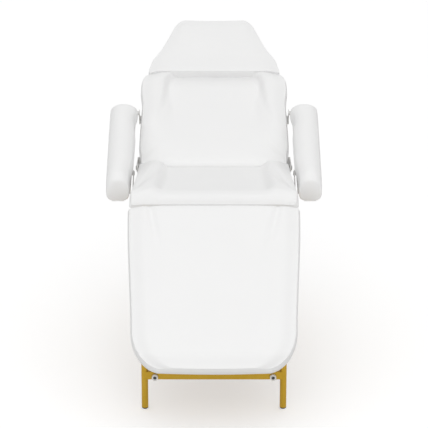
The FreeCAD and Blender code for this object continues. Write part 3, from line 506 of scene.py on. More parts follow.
def dress(piece: Piece, finish: bpy.types.Material, body: str) -> None:
    """Give a new piece its finish and its material slot, and let it ride on a body."""
    put_on(piece, finish)
    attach(piece, body)


class Finishes:
    """Every finish on the chair, built once."""

    def __init__(self) -> None:
        """Build the materials."""
        self.vinyl = Vinyl().material()
        self.gold = CoatedSteel("gold_steel", (0.46, 0.275, 0.018, 1.0), (0.54, 0.36, 0.06, 1.0),
                                0.85, (0.28, 0.42), 0.06).material()
        self.pale = CoatedSteel("white_steel", (0.78, 0.78, 0.77, 1.0), (0.66, 0.65, 0.63, 1.0),
                                0.0, (0.32, 0.46), 0.2).material()
        self.dark = CoatedSteel("dark_steel", (0.03, 0.03, 0.032, 1.0), (0.12, 0.12, 0.12, 1.0),
                                0.4, (0.35, 0.55), 0.1).material()
        self.zinc = CoatedSteel("staple_steel", (0.55, 0.55, 0.56, 1.0), (0.7, 0.7, 0.7, 1.0),
                                1.0, (0.25, 0.4), 0.0).material()
        self.white = Moulded("white_plastic", (0.82, 0.82, 0.81, 1.0), (0.7, 0.69, 0.66, 1.0),
                             (0.35, 0.5)).material()
        self.black = Moulded("black_rubber", (0.028, 0.028, 0.028, 1.0), (0.1, 0.1, 0.095, 1.0),
                             (0.6, 0.85)).material()
        self.boards = {
            "seat_board": Plywood("seat_plywood", SEAT_PLACE).material(),
            "back_board": Plywood("back_plywood", BACK_PLACE).material(),
            "leg_rest_board": Plywood("leg_rest_plywood", LEG_REST_PLACE).material(),
        }
        self.by_slot = {
            "gold_steel": self.gold, "dark_steel": self.dark, "white_steel": self.pale,
            "white_plastic": self.white, "black_rubber": self.black, "white_vinyl": self.vinyl,
        }

    def dress_frame(self) -> None:
        """Give every piece of the frame its finish."""
        for entry in frame["record"]["subparts"]:
            node = frame["nodes"][entry["node"]]
            finish = self.boards.get(entry["node"]) or self.by_slot[entry["material_slot"]]
            put_on(node, finish)


def run_of(points: Array, picked: Array, order: Array) -> Array:
    """Return the picked points in rising order."""
    chosen = np.flatnonzero(picked)
    return points[chosen[np.argsort(order[chosen])]]


@dataclass(frozen=True)
class Welt:
    """A thin cord of cover material, sewn along a seam.

    Args:
        name: the piece's name.
        body: the body that it rides on.
        line: the seam, as rows of points in the chair's frame.
        radius: the cord's radius.
    """

    name: str
    body: str
    line: Array
    radius: float = 0.0017

    def build(self, finish: bpy.types.Material) -> Piece:
        """Model the welt and return it."""
        deselect()
        bpy.ops.curve.primitive_nurbs_path_add()
        piece = name_piece(self.name)
        path = piece.data
        path.splines.clear()
        path.bevel_depth = self.radius
        path.bevel_resolution = 2
        spline = path.splines.new("POLY")
        spline.points.add(len(self.line) - 1)
        spline.points.foreach_set("co", np.column_stack((self.line, np.ones(len(self.line)))).ravel())
        bpy.ops.object.convert(target="MESH")
        piece = name_piece(self.name)
        bpy.ops.object.shade_smooth()
        dress(piece, finish, self.body)
        return piece


@dataclass
class PaddedPiece:
    """A cushion: a foam block under a sewn cover, flat where it rests on its board.

    It is shaped in a place of its own, with x across, y along and z up from the board, and swelled as a
    cloth that is held along its seams.
    """

    name: str = ""
    node: str = ""
    body: str = ""
    place: Tilt = SEAT_PLACE
    cells_across: int = 60
    cells_along: int = 56
    wall_rows: int = 6
    low: float = 0.0245
    high: float = 0.0825
    seam_inset: float = 0.009
    edge_fall: float = 0.011
    edge_width: float = 0.05
    bottom_tuck: float = 0.005
    side_bulge: float = 0.005
    start_bulge: tuple[float, float] = (-0.003, 0.0)
    finish_bulge: tuple[float, float] = (0.003, 0.0)
    pressure: float = 3.0
    swell: float = 0.004
    fill: float = 0.85

    def upper(self, s: Array, t: Array) -> Array:
        """Return the top of the cushion.

        Args:
            s: shares across, from -1 to 1.
            t: shares along, from 0 to 1.

        Returns:
            Rows of x, y, z.
        """
        raise NotImplementedError

    def lower(self, s: Array, t: Array) -> Array:
        """Return the underside, at the same shares as the top."""
        top = self.upper(s, t)
        edge = np.maximum(np.abs(self.upper(np.sign(s) + (s == 0), t)[:, 0]), 1e-6)
        drawn = (edge - self.bottom_tuck + self.seam_inset) / edge
        return np.column_stack((top[:, 0] * drawn, top[:, 1], np.full(len(s), self.low)))

    def blank(self) -> tuple[Piece, Array, Array, Array]:
        """Model the plain block that the cushion is shaped from.

        Returns:
            The block, and for each point its share across, along and up.
        """
        deselect()
        bpy.ops.mesh.primitive_grid_add(x_subdivisions=self.cells_across, y_subdivisions=self.cells_along,
                                        size=2.0)
        piece = name_piece(self.name)
        bpy.ops.object.mode_set(mode="EDIT")
        bpy.ops.mesh.select_all(action="SELECT")
        for _ in range(self.wall_rows):
            bpy.ops.mesh.extrude_region_move(TRANSFORM_OT_translate={"value": (0.0, 0.0, 1.0)})
        bpy.ops.mesh.select_all(action="SELECT")
        bpy.ops.mesh.normals_make_consistent(inside=False)
        bpy.ops.object.mode_set(mode="OBJECT")
        block = points_of(piece)
        across = gather(block[:, 0])
        along = 0.5 + 0.5 * gather(block[:, 1], 0.3)
        return piece, across, along, block[:, 2] / self.wall_rows

    def shape(self, s: Array, t: Array, w: Array) -> Array:
        """Return the cushion's form before it swells.

        Args:
            s: shares across.
            t: shares along.
            w: shares up, 1 on the top.

        Returns:
            Rows of x, y, z in the cushion's own place.
        """
        top, bottom = self.upper(s, t), self.lower(s, t)
        points = bottom + np.column_stack((*self.spread_out(w), w)) * (top - bottom)
        arch = 4.0 * w * (1.0 - w)
        points[:, 0] += arch * self.side_bulge * np.sign(s) * (np.abs(s) > RIM_SHARE)
        for end, bulge in ((End.START, self.start_bulge), (End.FINISH, self.finish_bulge)):
            at_end = np.abs(t - end.value) < NIL
            points[:, 1] += arch * bulge[0] * at_end
            points[:, 2] += arch * bulge[1] * at_end
        return points

    def spread_out(self, w: Array) -> tuple[Array, Array]:
        """Return how far the walls have spread from the underside to the top, across and along."""
        return w, w

    def swelled(self, piece: Piece, held: Array) -> None:
        """Swell the cover from inside, held along its seams, and keep the result.

        Args:
            piece: the shaped cushion.
            held: whether each point is held.
        """
        start = points_of(piece)
        group = piece.vertex_groups.new(name="held")
        group.add(np.flatnonzero(held).tolist(), 1.0, "REPLACE")
        choose(piece)
        bpy.ops.object.modifier_add(type="CLOTH")
        cloth = piece.modifiers[-1]
        rules = cloth.settings
        rules.quality = 5
        rules.mass = 0.4
        rules.tension_stiffness = rules.compression_stiffness = 25.0
        rules.shear_stiffness = 15.0
        rules.bending_stiffness = 2.0
        rules.use_pressure = True
        rules.uniform_pressure_force = self.pressure
        rules.vertex_group_mass = "held"
        rules.effector_weights.gravity = 0.0
        cloth.collision_settings.use_collision = False
        cloth.point_cache.frame_start, cloth.point_cache.frame_end = 1, 20
        for step in range(1, 21):
            bpy.context.scene.frame_set(step)
        seen = piece.evaluated_get(bpy.context.evaluated_depsgraph_get())
        flat = np.empty(len(seen.data.vertices) * 3)
        seen.data.vertices.foreach_get("co", flat)
        moved = flat.reshape(-1, 3) - start
        length = np.maximum(np.linalg.norm(moved, axis=1), 1e-9)
        piece.modifiers.remove(cloth)
        bpy.context.scene.frame_set(1)
        capped = self.swell * np.tanh(length / self.swell) / length
        move_points(piece, start + moved * capped[:, None])

    def build(self, finish: bpy.types.Material) -> Piece:
        """Make the cushion and the welts along its seams.

        Args:
            finish: the cover's material.

        Returns:
            The cushion.
        """
        piece, s, t, w = self.blank()
        move_points(piece, self.place.to_chair(self.shape(s, t, w)))
        top = w > TOP_SHARE
        rim = top & ((np.abs(s) > RIM_SHARE) | (t < NIL) | (t > 1.0 - NIL))
        self.swelled(piece, rim | (w < 1.0 - TOP_SHARE))
        apply_modifier(piece, "SUBSURF", levels=1, render_levels=1)
        seams = self.seam_lines(points_of(piece)[: len(s)], s, t, w)
        choose(piece)
        bpy.ops.object.shade_smooth()
        piece.vertex_groups.clear()
        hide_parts(self.node)
        dress(piece, finish, self.body)
        for number, line in enumerate(seams, start=1):
            Welt(f"{self.node}_welt_{number}", self.body, line).build(finish)
        LOG.info("%s: %d points", piece.name, len(piece.data.vertices))
        return piece

    @staticmethod
    def side_lines(points: Array, s: Array, t: Array, w: Array) -> tuple[Array, Array]:
        """Return the left and right edges of the top, each from start to finish."""
        left, right = (run_of(points, (w > TOP_SHARE) & (sign * s > RIM_SHARE), t) for sign in (-1.0, 1.0))
        return left, right

    def seam_lines(self, points: Array, s: Array, t: Array, w: Array) -> list[Array]:
        """Return the lines that a welt is sewn along, as rows of points in the chair's frame.

        Args:
            points: the cover's points.
            s: their shares across.
            t: their shares along.
            w: their shares up.

        Returns:
            One line for each welt: here, once round the edge of the top.
        """
        left, right = self.side_lines(points, s, t, w)
        top = w > TOP_SHARE
        start = run_of(points, top & (t < NIL), s)
        finish = run_of(points, top & (t > 1.0 - NIL), s)
        return [np.vstack((left, finish[1:], right[-2::-1], start[-2:0:-1], left[:1]))]


def corner_run(t: Array, share: float, length: float, corner: tuple[float, float]) -> tuple[Array, Array]:
    """Lay stations along a panel whose far corners are rounded.

    Args:
        t: shares along the stations.
        share: share of the stations on the straight run.
        length: length of the panel.
        corner: the corner's size along and across.

    Returns:
        The distance along, and how far the corner draws the side in.
    """
    limit = math.radians(80.0)
    turn = np.clip((t - share) / (1.0 - share), 0.0, 1.0) * limit
    straight = np.clip(t / share, 0.0, 1.0) * (length - corner[0])
    return straight + corner[0] * np.sin(turn) / math.sin(limit), corner[1] * (1.0 - np.cos(turn))


@dataclass
class SeatPad(PaddedPiece):
    """The seat: a full front roll, a wing down each side and a dished middle."""

    name: str = "seat_cushion_cover"
    node: str = "seat_cushion"
    body: str = "base"
    place: Tilt = SEAT_PLACE
    half: float = 0.283
    rear_narrowing: float = 0.010
    depth: float = 0.447
    roll: float = 0.046
    recess: float = 0.024
    wing: tuple[float, float] = (0.066, 0.104)
    tray_front: tuple[float, float] = (0.058, 0.094)
    front_share: float = 0.5
    front_gap: float = 0.002
    swell: float = 0.0024
    finish_bulge: tuple[float, float] = (0.0, 0.0)
    start_bulge: tuple[float, float] = (0.0, 0.0)

    def path(self, t: Array) -> tuple[Array, Array]:
        """Return the line of the top from the front roll to the rear, as y and z."""
        arc = self.roll * math.pi / 2.0
        run = t * (arc + self.depth - self.roll)
        turn = np.clip(run / self.roll, 0.0, math.pi / 2.0)
        y = self.roll * (1.0 - np.cos(turn)) + np.maximum(run - arc, 0.0)
        return y, self.high - self.roll * (1.0 - np.sin(turn))

    def upper(self, s: Array, t: Array) -> Array:
        """Return the top of the seat."""
        y, z = self.path(t)
        edge = self.half - self.rear_narrowing * ease(0.0, 0.9 * self.depth, y) - self.seam_inset
        inside = (1.0 - np.abs(s)) * edge
        fall = self.edge_fall * (0.25 + 0.75 * ease(0.0, 0.08, y))
        z = z - fall * (1.0 - ease(0.0, self.edge_width, inside))
        z = z - self.dish(inside, y)
        return np.column_stack((s * edge, y, z))

    def seam_lines(self, points: Array, s: Array, t: Array, w: Array) -> list[Array]:
        """Return one line: up one side, round the front and back along the other side."""
        left, right = self.side_lines(points, s, t, w)
        front = run_of(points, (w > TOP_SHARE) & (t < NIL), s)
        return [np.vstack((left[::-1], front[1:-1], right))]

    def dish(self, inside: Array, y: Array) -> Array:
        """Return the depth of the dished middle."""
        front = self.front_share * ease(0.0, 0.04, y)
        middle = (1.0 - self.front_share) * ease(*self.tray_front, y)
        return self.recess * ease(*self.wing, inside) * (front + middle)

    def lower(self, s: Array, t: Array) -> Array:
        """Return the underside of the seat."""
        points = super().lower(s, t)
        points[:, 1] = self.front_gap + t * (self.depth - self.front_gap)
        return points


@dataclass
class BackPad(PaddedPiece):
    """The back: a round nose about the hinge, side wings, and a panel that deepens towards the head."""

    name: str = "back_cushion_cover"
    node: str = "back_cushion"
    body: str = "back"
    place: Tilt = BACK_PLACE
    low: float = -0.023
    high: float = 0.035
    half: float = 0.270
    nose: float = 0.029
    length: float = 0.484
    nose_draw: float = 0.003
    spread: float = 0.007
    shoulder: tuple[float, float] = (0.07, 0.034)
    shoulder_fall: float = 0.024
    shoulder_run: tuple[float, float] = (0.06, 0.03)
    recess: float = 0.026
    valley: float = 0.002
    waist: float = 0.005
    wing: tuple[float, float] = (0.078, 0.100)
    wing_low: tuple[float, float] = (0.012, 0.13)
    start_bulge: tuple[float, float] = (-0.006, -0.006)
    finish_bulge: tuple[float, float] = (0.0, 0.0)

    def upper(self, s: Array, t: Array) -> Array:
        """Return the top of the back."""
        arc = self.nose * math.pi / 2.0
        run, draw = corner_run(t, 0.82, arc + self.length, self.shoulder)
        turn = np.clip(run / self.nose, 0.0, math.pi / 2.0)
        y = np.where(run < arc, -self.nose * np.cos(turn), run - arc)
        z = self.high - self.nose * (1.0 - np.sin(turn))
        edge = self.half - self.nose_draw * (1.0 - ease(0.0, 0.12, y)) - draw - self.seam_inset
        edge = edge + self.spread * ease(0.62 * self.length, 0.8 * self.length, y)
        edge = edge + self.waist * ease(0.03, 0.09, y) * (1.0 - ease(0.08, 0.34, y))
        inside = (1.0 - np.abs(s)) * edge
        fall = self.edge_fall * (0.2 + 0.8 * ease(-self.nose, 0.05, y))
        z = z - fall * (1.0 - ease(0.0, self.edge_width, inside))
        rising = ease(0.3 * self.length, 0.85 * self.length, y)
        near, far = (low + (high - low) * rising for low, high in zip(self.wing_low, self.wing))
        middle = ease(0.0, 1.0, (inside - near) / (far - near))
        z = z - self.recess * middle * ease(0.0, 0.62 * self.length, y)
        z = z - self.valley * middle * ease(self.length - 0.034, self.length, y)
        before, after = self.shoulder_run
        z = z - self.shoulder_fall * ease(self.length - before, self.length + after, y)
        return np.column_stack((s * edge, y, z))

    def seam_lines(self, points: Array, s: Array, t: Array, w: Array) -> list[Array]:
        """Return one line: up one side, along the top and down the other side."""
        left, right = self.side_lines(points, s, t, w)
        head = run_of(points, (w > TOP_SHARE) & (t > 1.0 - NIL), s)
        return [np.vstack((left, head[1:-1], right[::-1]))]

    def lower(self, s: Array, t: Array) -> Array:
        """Return the underside of the back."""
        points = super().lower(s, t)
        points[:, 1] = np.maximum(points[:, 1], 0.0) + 0.0005 * t
        return points


@dataclass
class HeadPad(PaddedPiece):
    """The head cushion: a neck end at the back, a soft fold across, and a pillow that rises to the top."""

    name: str = "head_cushion_cover"
    node: str = "head_cushion"
    body: str = "back"
    place: Tilt = BACK_PLACE
    cells_across: int = 52
    cells_along: int = 44
    low: float = -0.023
    high: float = 0.039
    begin: float = 0.4855
    length: float = 0.280
    wide: float = 0.2565
    slope: float = 0.415
    neck: tuple[float, float] = (0.077, 0.040)
    neck_swell: float = 0.011
    neck_round: tuple[float, float] = (0.006, 0.022)
    corner: tuple[float, float] = (0.042, 0.026)
    fold: float = 0.086
    fold_slope: float = 0.09
    neck_height: float = 0.022
    dip: float = 0.004
    start_bulge: tuple[float, float] = (0.0, 0.0)
    seam_inset: float = 0.003
    side_bulge: float = 0.003
    edge_fall: float = 0.009
    edge_width: float = 0.035

    def upper(self, s: Array, t: Array) -> Array:
        """Return the top of the head cushion."""
        run, draw = corner_run(t, 0.78, self.length, self.corner)
        swelling = self.neck_swell * np.exp(-(((run - self.neck[0]) / self.neck[1]) ** 2))
        edge = self.wide - self.slope * run + swelling - draw - self.seam_inset
        edge = edge - self.neck_round[0] * (1.0 - ease(0.0, self.neck_round[1], run))
        inside = (1.0 - np.abs(s)) * edge
        drop = self.fold_slope * run
        climb = (self.high - self.neck_height + self.fold_slope * self.length) / (self.length - self.fold)
        z = self.neck_height - drop + climb * soft_ramp(self.fold, run)
        end = 1.0 - ease(self.length - self.edge_width, self.length, run)
        z = z - self.edge_fall * (1.0 - end * ease(0.0, self.edge_width, inside))
        y = self.begin + run - self.dip * (1.0 - s * s) * ease(0.6 * self.length, self.length, run)
        return np.column_stack((s * edge, y, z))


@dataclass
class LegRestPad(PaddedPiece):
    """The leg rest: it tapers to a broad round foot end, with two soft channels near the seat."""

    name: str = "leg_rest_cushion_cover"
    node: str = "leg_rest_cushion"
    body: str = "leg_rest"
    place: Tilt = LEG_REST_PLACE
    cells_along: int = 64
    begin: float = 0.004
    length: float = 0.552
    half: float = 0.285
    taper: float = 0.017
    corner: tuple[float, float] = (0.122, 0.100)
    foot_sag: float = 0.004
    foot_lean: float = 0.006
    head_arch: float = 0.007
    head_fall: float = 0.006
    channel_from: float = 0.211
    channel_to: float = 0.172
    channel_length: float = 0.17
    channel_width: float = 0.010
    channel_depth: float = 0.008
    start_bulge: tuple[float, float] = (0.0, 0.0)
    finish_bulge: tuple[float, float] = (-0.004, 0.0)

    def upper(self, s: Array, t: Array) -> Array:
        """Return the top of the leg rest, with its length towards the foot end."""
        run, draw = corner_run(t, 0.7, self.length - self.begin - self.foot_sag, self.corner)
        run = run + self.begin
        narrowing = self.taper * ease(0.05 * self.length, 0.85 * self.length, run)
        edge = self.half - narrowing - draw - self.seam_inset
        x = s * edge
        inside = (1.0 - np.abs(s)) * edge
        z = self.high - self.edge_fall * (1.0 - ease(0.0, self.edge_width, inside))
        z = z - self.edge_fall * ease(self.length - self.edge_width, self.length, run)
        z = z - self.head_fall * (1.0 - ease(self.begin, 0.02, run))
        line = self.channel_from + (self.channel_to - self.channel_from) * run / self.channel_length
        groove = np.exp(-(((np.abs(x) - line) / self.channel_width) ** 2))
        fading = 1.0 - ease(0.3 * self.channel_length, self.channel_length, run)
        z = z - self.channel_depth * groove * fading
        sag = self.foot_sag * (1.0 - s * s) * ease(0.7 * self.length, self.length, run)
        arch = self.head_arch * (1.0 - 0.8 * s**4) * (1.0 - ease(self.begin, 0.2 * self.length, run))
        return np.column_stack((x, arch - run - sag, z))

    def lower(self, s: Array, t: Array) -> Array:
        """Return the underside, which keeps clear of the seat."""
        points = super().lower(s, t)
        points[:, 1] = np.minimum(points[:, 1], -self.begin) - self.foot_lean * ease(0.6, 1.0, t)
        return points

    def spread_out(self, w: Array) -> tuple[Array, Array]:
        """Return the spread of the walls, late along the length to leave the seat room at the hinge."""
        return w, w * w


@dataclass
class ArmPad(PaddedPiece):
    """An arm pad: a crowned bolster with a blunt front, which spreads at the rear beside the back."""

    side: Side = Side.LEFT
    place: Tilt = ARM_PLACE
    cells_across: int = 20
    cells_along: int = 56
    wall_rows: int = 10
    low: float = 0.014
    high: float = 0.104
    front: float = -0.187
    length: float = 0.509
    nose_drop: float = 0.004
    inner: float = 0.289
    width: float = 0.080
    spread: float = 0.010
    flare: float = 0.010
    base_share: float = 0.45
    inset: tuple[float, float] = (0.012, 0.005)
    front_lean: float = 0.014
    rear_lean: float = 0.005
    overhang: float = 0.008
    base_rise: float = 0.4
    round_front: float = 0.055
    round_rear: float = 0.034
    seam_inset: float = 0.004
    edge_fall: float = 0.02
    bottom_tuck: float = 0.007
    side_bulge: float = 0.004
    start_bulge: tuple[float, float] = (-0.003, 0.0)
    finish_bulge: tuple[float, float] = (0.005, 0.0)

    def upper(self, s: Array, t: Array) -> Array:
        """Return the top of the arm pad."""
        y = self.front + self.inset[0] + t * (self.length - sum(self.inset))
        inner = self.inner - self.flare * ease(0.82, 0.97, t) + self.seam_inset
        inner = inner - self.overhang * ease(0.1, 0.3, t) * (1.0 - ease(0.6, 0.85, t))
        outer = self.inner + self.width + self.spread * t - self.seam_inset
        x = 0.5 * (inner + outer) + 0.5 * s * (outer - inner) * self.side.value
        crown = self.edge_fall * np.abs(s) ** 2.6
        front = np.clip(1.0 - (y - self.front) / self.round_front, 0.0, 1.0)
        rear = np.clip(1.0 - (self.front + self.length - y) / self.round_rear, 0.0, 1.0)
        z = self.high - crown - self.round_front * (1.0 - np.sqrt(1.0 - 0.9 * front * front))
        z = z - self.round_rear * (1.0 - np.sqrt(1.0 - 0.9 * rear * rear))
        return np.column_stack((x * self.side.value, y, z))

    def seam_lines(self, points: Array, s: Array, t: Array, w: Array) -> list[Array]:
        """Return one line: round the base panel, where the cover's sides end."""
        return super().seam_lines(points, s, t, 1.0 - w)

    def lower(self, s: Array, t: Array) -> Array:
        """Return the flat underside of the arm pad."""
        points = self.upper(s, t)
        middle = self.upper(np.zeros(len(s)), t)
        points[:, 0] = middle[:, 0] + (points[:, 0] - middle[:, 0]) * self.base_share
        lean = self.front_lean * (1.0 - ease(0.0, 0.3, t)) + self.rear_lean * ease(0.7, 1.0, t)
        points[:, 1] = points[:, 1] - lean
        points[:, 2] = self.low - self.nose_drop * (1.0 - ease(0.045, 0.11, t))
        return points

    def spread_out(self, w: Array) -> tuple[Array, Array]:
        """Return the spread of the walls: a quarter round across, above the underside, then upright."""
        return np.sqrt(1.0 - np.clip(1.0 - w / self.base_rise, 0.0, 1.0) ** 2), w


@dataclass(frozen=True)
class Hem:
    """The cover's turned-under edge: it wraps a board and is stapled along the underside.

    Args:
        board: the board's node.
        body: the body that it rides on.
        place: the place that the board lies square in.
        turn_under: how far the cover reaches in under the board.
    """

    board: str
    body: str
    place: Tilt
    turn_under: float
    thick: float = 0.0012
    pitch: float = 0.042

    def build(self, finishes: Finishes) -> None:
        """Model the hem and its row of staples."""
        choose(frame["nodes"][self.board])
        bpy.ops.object.duplicate()
        piece = name_piece(f"{self.board}_hem")
        bpy.ops.object.mode_set(mode="EDIT")
        bpy.ops.mesh.select_all(action="SELECT")
        bpy.ops.mesh.remove_doubles(threshold=1e-6)
        bpy.ops.mesh.select_all(action="SELECT")
        bpy.ops.mesh.dissolve_limited(angle_limit=math.radians(0.5))
        bpy.ops.object.mode_set(mode="OBJECT")
        up = self.place.matrix().to_3x3() @ Vector((0.0, 0.0, 1.0))
        outline = self.underside(piece, up)
        self.drop_faces(piece, [face.normal.dot(up) > 0.9 for face in piece.data.polygons])
        self.pick_faces(piece, [face.normal.dot(up) < -0.9 for face in piece.data.polygons])
        bpy.ops.mesh.inset(thickness=self.turn_under)
        bpy.ops.mesh.delete(type="FACE")
        bpy.ops.object.mode_set(mode="OBJECT")
        apply_modifier(piece, "SOLIDIFY", thickness=self.thick, offset=1.0)
        smooth(piece)
        dress(piece, finishes.vinyl, self.body)
        self.staples(outline, finishes.zinc)

    @staticmethod
    def pick_faces(piece: Piece, wanted: list[bool]) -> None:
        """Enter edit mode with only the wanted faces selected."""
        choose(piece)
        bpy.ops.object.mode_set(mode="EDIT")
        bpy.ops.mesh.select_mode(type="FACE")
        bpy.ops.mesh.select_all(action="DESELECT")
        bpy.ops.object.mode_set(mode="OBJECT")
        piece.data.polygons.foreach_set("select", wanted)
        bpy.ops.object.mode_set(mode="EDIT")

    def drop_faces(self, piece: Piece, wanted: list[bool]) -> None:
        """Delete the wanted faces."""
        self.pick_faces(piece, wanted)
        bpy.ops.mesh.delete(type="FACE")
        bpy.ops.object.mode_set(mode="OBJECT")

    def underside(self, piece: Piece, up: Vector) -> Array:
        """Return the outline of the board's underside, in order, in the board's place."""
        lowest = max(piece.data.polygons, key=lambda face: -face.normal.dot(up) * face.area)
        corners = [piece.data.vertices[index].co for index in lowest.vertices]
        return self.place.from_chair(np.array(corners))

    def staples(self, outline: Array, finish: bpy.types.Material) -> None:
        """Set staples along the hem, all of them copies of one.

        Args:
            outline: the board's outline, in its own place.
            finish: the staples' material.
        """
        first = self.staple()
        closed = np.vstack((outline, outline[:1]))
        steps = np.linalg.norm(np.diff(closed, axis=0), axis=1)
        reach = np.concatenate(([0.0], np.cumsum(steps)))
        count = int(reach[-1] / self.pitch)
        middle = outline.mean(axis=0)
        copies = []
        for share in (np.arange(count) + 0.5) / count * reach[-1]:
            spot = np.array([np.interp(share, reach, closed[:, axis]) for axis in range(3)])
            run = np.searchsorted(reach, share) - 1
            along = (closed[run + 1] - closed[run]) / steps[run]
            inward = np.array((-along[1], along[0], 0.0))
            inward *= np.sign(np.dot(inward, middle - spot)) * self.turn_under * 0.6
            copy = first.copy()
            copy.data = first.data.copy()
            bpy.context.scene.collection.objects.link(copy)
            turn = Matrix.Rotation(math.atan2(along[1], along[0]), 4, "Z")
            below = Vector(spot + inward) - Vector((0.0, 0.0, self.thick))
            copy.matrix_world = self.place.matrix() @ Matrix.Translation(below) @ turn
            copies.append(copy)
        deselect()
        for copy in copies:
            copy.select_set(True)
        bpy.context.view_layer.objects.active = copies[0]
        bpy.ops.object.join()
        row = name_piece(f"{self.board}_staples")
        settle(row)
        bpy.data.objects.remove(first)
        smooth(row)
        dress(row, finish, self.body)

    @staticmethod
    def staple() -> Piece:
        """Model one staple: a flat wire crown with its ends bent into the board."""
        deselect()
        bpy.ops.mesh.primitive_cube_add(size=1.0, scale=(0.011, 0.0013, 0.0007))
        piece = name_piece("staple")
        settle(piece)
        bpy.ops.object.mode_set(mode="EDIT")
        bpy.ops.mesh.subdivide(number_cuts=5)
        bpy.ops.object.mode_set(mode="OBJECT")
        points = points_of(piece)
        points[:, 2] += 0.0011 * ease(0.0042, 0.0055, np.abs(points[:, 0]))
        move_points(piece, points)
        apply_modifier(piece, "BEVEL", width=0.0002, segments=1)
        return piece


@dataclass(frozen=True)
class TubePlug:
    """A moulded plug that closes an open tube end.

    Args:
        node: the tube's node.
        body: the body that it rides on.
        place: the place that the tube lies square in.
        end: the end of the tube, along the place's y.
    """

    node: str
    body: str
    place: Tilt
    end: End
    depth: float = 0.0032
    crown: float = 0.0012
    edge: float = 0.0011

    def build(self, finish: bpy.types.Material) -> None:
        """Model the plug at its tube's end."""
        local = self.place.from_chair(points_of(frame["nodes"][self.node]))
        low, high = local.min(axis=0), local.max(axis=0)
        outward_sign = 1.0 if self.end is End.FINISH else -1.0
        tip = high[1] if self.end is End.FINISH else low[1]
        middle = 0.5 * (low + high)
        centre = Vector((middle[0], tip + outward_sign * self.depth / 2.0, middle[2]))
        deselect()
        bpy.ops.mesh.primitive_cube_add(size=1.0, scale=(high[0] - low[0], self.depth, high[2] - low[2]))
        piece = name_piece(f"{self.node}_plug_{self.end.name.lower()}")
        settle(piece)
        apply_modifier(piece, "BEVEL", width=self.edge, segments=3)
        bpy.ops.object.mode_set(mode="EDIT")
        bpy.ops.mesh.select_all(action="SELECT")
        bpy.ops.mesh.subdivide(number_cuts=2)
        bpy.ops.object.mode_set(mode="OBJECT")
        points = points_of(piece)
        reach = np.max(np.abs(points[:, [0, 2]]) / (high - low)[[0, 2]], axis=1)
        outer = outward_sign * points[:, 1] > 0.3 * self.depth
        points[:, 1] += outward_sign * self.crown * outer * (1.0 - ease(0.0, 0.46, reach))
        move_points(piece, points)
        piece.matrix_world = self.place.matrix() @ Matrix.Translation(centre)
        settle(piece)
        smooth(piece)
        dress(piece, finish, self.body)


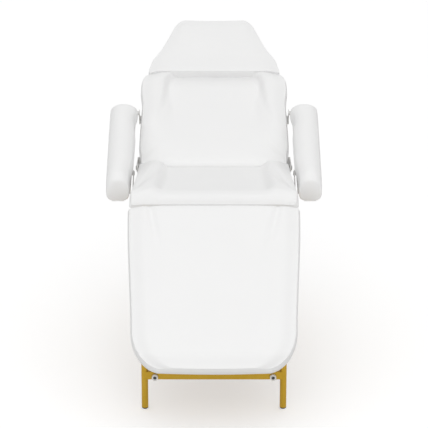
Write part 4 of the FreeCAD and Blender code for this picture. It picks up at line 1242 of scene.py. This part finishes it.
@dataclass(frozen=True)
class Studio:
    """Camera, light and floor, set as the photograph shows the chair."""

    image: float = 428.0
    focal: float = 1600.0
    distance: float = 5.3
    aim: tuple[float, float, float] = (0.0, LEG_HINGE[0], 0.619)
    down: float = 15.0
    side_shade: float = 0.9

    def camera(self) -> None:
        """Place the camera in front of the foot end, looking down at the chair."""
        tilt = math.radians(self.down)
        data = bpy.data.cameras.new("studio_camera")
        data.angle = 2.0 * math.atan(0.5 * self.image / self.focal)
        camera = bpy.data.objects.new("studio_camera", data)
        bpy.context.scene.collection.objects.link(camera)
        view = Vector((0.0, math.cos(tilt), -math.sin(tilt)))
        camera.location = Vector(self.aim) - self.distance * view
        camera.rotation_euler = (math.pi / 2.0 - tilt, 0.0, 0.0)
        bpy.context.scene.camera = camera

    def lamp(self, name: str, place: tuple[float, float, float], aim: tuple[float, float, float], size: float,
             power: float) -> None:
        """Hang a soft lamp.

        Args:
            name: the lamp's name.
            place: where it hangs.
            aim: what it points at.
            size: the edge of its panel.
            power: its power in watts.
        """
        data = bpy.data.lights.new(name, "AREA")
        data.size = size
        data.energy = power
        lamp = bpy.data.objects.new(name, data)
        bpy.context.scene.collection.objects.link(lamp)
        lamp.location = place
        lamp.rotation_euler = (Vector(aim) - Vector(place)).to_track_quat("-Z", "Y").to_euler()

    def surroundings(self, level: float, slope: float) -> None:
        """Light the chair from all round, more from the front and above, and show white where nothing stands.

        Args:
            level: the mean strength of the light.
            slope: how much stronger it is from the front and above, and weaker from behind and below.
        """
        world = bpy.data.worlds.new("white_studio")
        world.use_nodes = True
        nodes = Nodes(world.node_tree)
        seen = nodes.seen()
        towards = nodes.tree.nodes.new("ShaderNodeVectorMath")
        towards.operation = "DOT_PRODUCT"
        heading = nodes.add("ShaderNodeTexCoord").outputs["Generated"]
        nodes.feed(towards.inputs[0], heading)
        nodes.feed(towards.inputs[1], (0.0, -0.8, 0.6))
        sideways = nodes.tree.nodes.new("ShaderNodeSeparateXYZ")
        nodes.feed(sideways.inputs[0], heading)
        dimmed = nodes.math("MULTIPLY", nodes.math("POWER", sideways.outputs["X"], 2.0), -self.side_shade)
        cast = nodes.math("ADD", nodes.math("MULTIPLY", towards.outputs["Value"], slope), level)
        cast = nodes.math("ADD", cast, dimmed)
        unseen = nodes.math("SUBTRACT", 1.0, seen)
        strength = nodes.math("ADD", seen, nodes.math("MULTIPLY", cast, unseen))
        sky = nodes.add("ShaderNodeBackground", Color=(1.0, 1.0, 1.0, 1.0), Strength=strength)
        nodes.add("ShaderNodeOutputWorld", Surface=sky.outputs[0])
        bpy.context.scene.world = world

    def floor(self) -> None:
        """Lay the floor."""
        deselect()
        bpy.ops.mesh.primitive_plane_add(size=80.0)
        floor = name_piece("studio_floor")
        put_on(floor, PaleFloor().material())

    def build(self) -> None:
        """Set up the whole studio."""
        bpy.context.scene.view_settings.view_transform = "Standard"
        self.camera()
        self.surroundings(1.02, 0.2)
        self.lamp("front_panel", (0.0, -5.0, 3.4), (0.0, 0.0, 0.7), 2.4, 42.0)
        self.floor()


OPEN_TUBES = (
    ("side_rail", "base", SEAT_PLACE, (End.START, End.FINISH)),
    ("seat_tube", "base", SEAT_PLACE, (End.FINISH,)),
    ("back_tube", "back", BACK_PLACE, (End.START, End.FINISH)),
    ("leg_rest_tube", "leg_rest", LEG_REST_PLACE, (End.START,)),
)


def plugs(word: str) -> list[TubePlug]:
    """List the plugs in the open tube ends on one side of the chair."""
    return [TubePlug(f"{tube}_{word}", body, place, end)
            for tube, body, place, ends in OPEN_TUBES for end in ends]


def main() -> None:
    """Dress the chair, piece by piece, and set up the studio."""
    logging.basicConfig(level=logging.INFO, format="%(name)s: %(message)s")
    finishes = Finishes()
    finishes.dress_frame()
    for pad in (SeatPad(), BackPad(), HeadPad(), LegRestPad()):
        pad.build(finishes.vinyl)
    for side in Side:
        word = side.word
        pad = ArmPad(name=f"arm_pad_{word}_cover", node=f"arm_pad_{word}", body=f"arm_{word}", side=side)
        pad.build(finishes.vinyl)
    for hem in (Hem("seat_board", "base", SEAT_PLACE, 0.017), Hem("back_board", "back", BACK_PLACE, 0.010),
                Hem("leg_rest_board", "leg_rest", LEG_REST_PLACE, 0.03)):
        hem.build(finishes)
    for side in Side:
        for plug in plugs(side.word):
            plug.build(finishes.black)
    Studio().build()


if __name__ == "__main__":
    main()
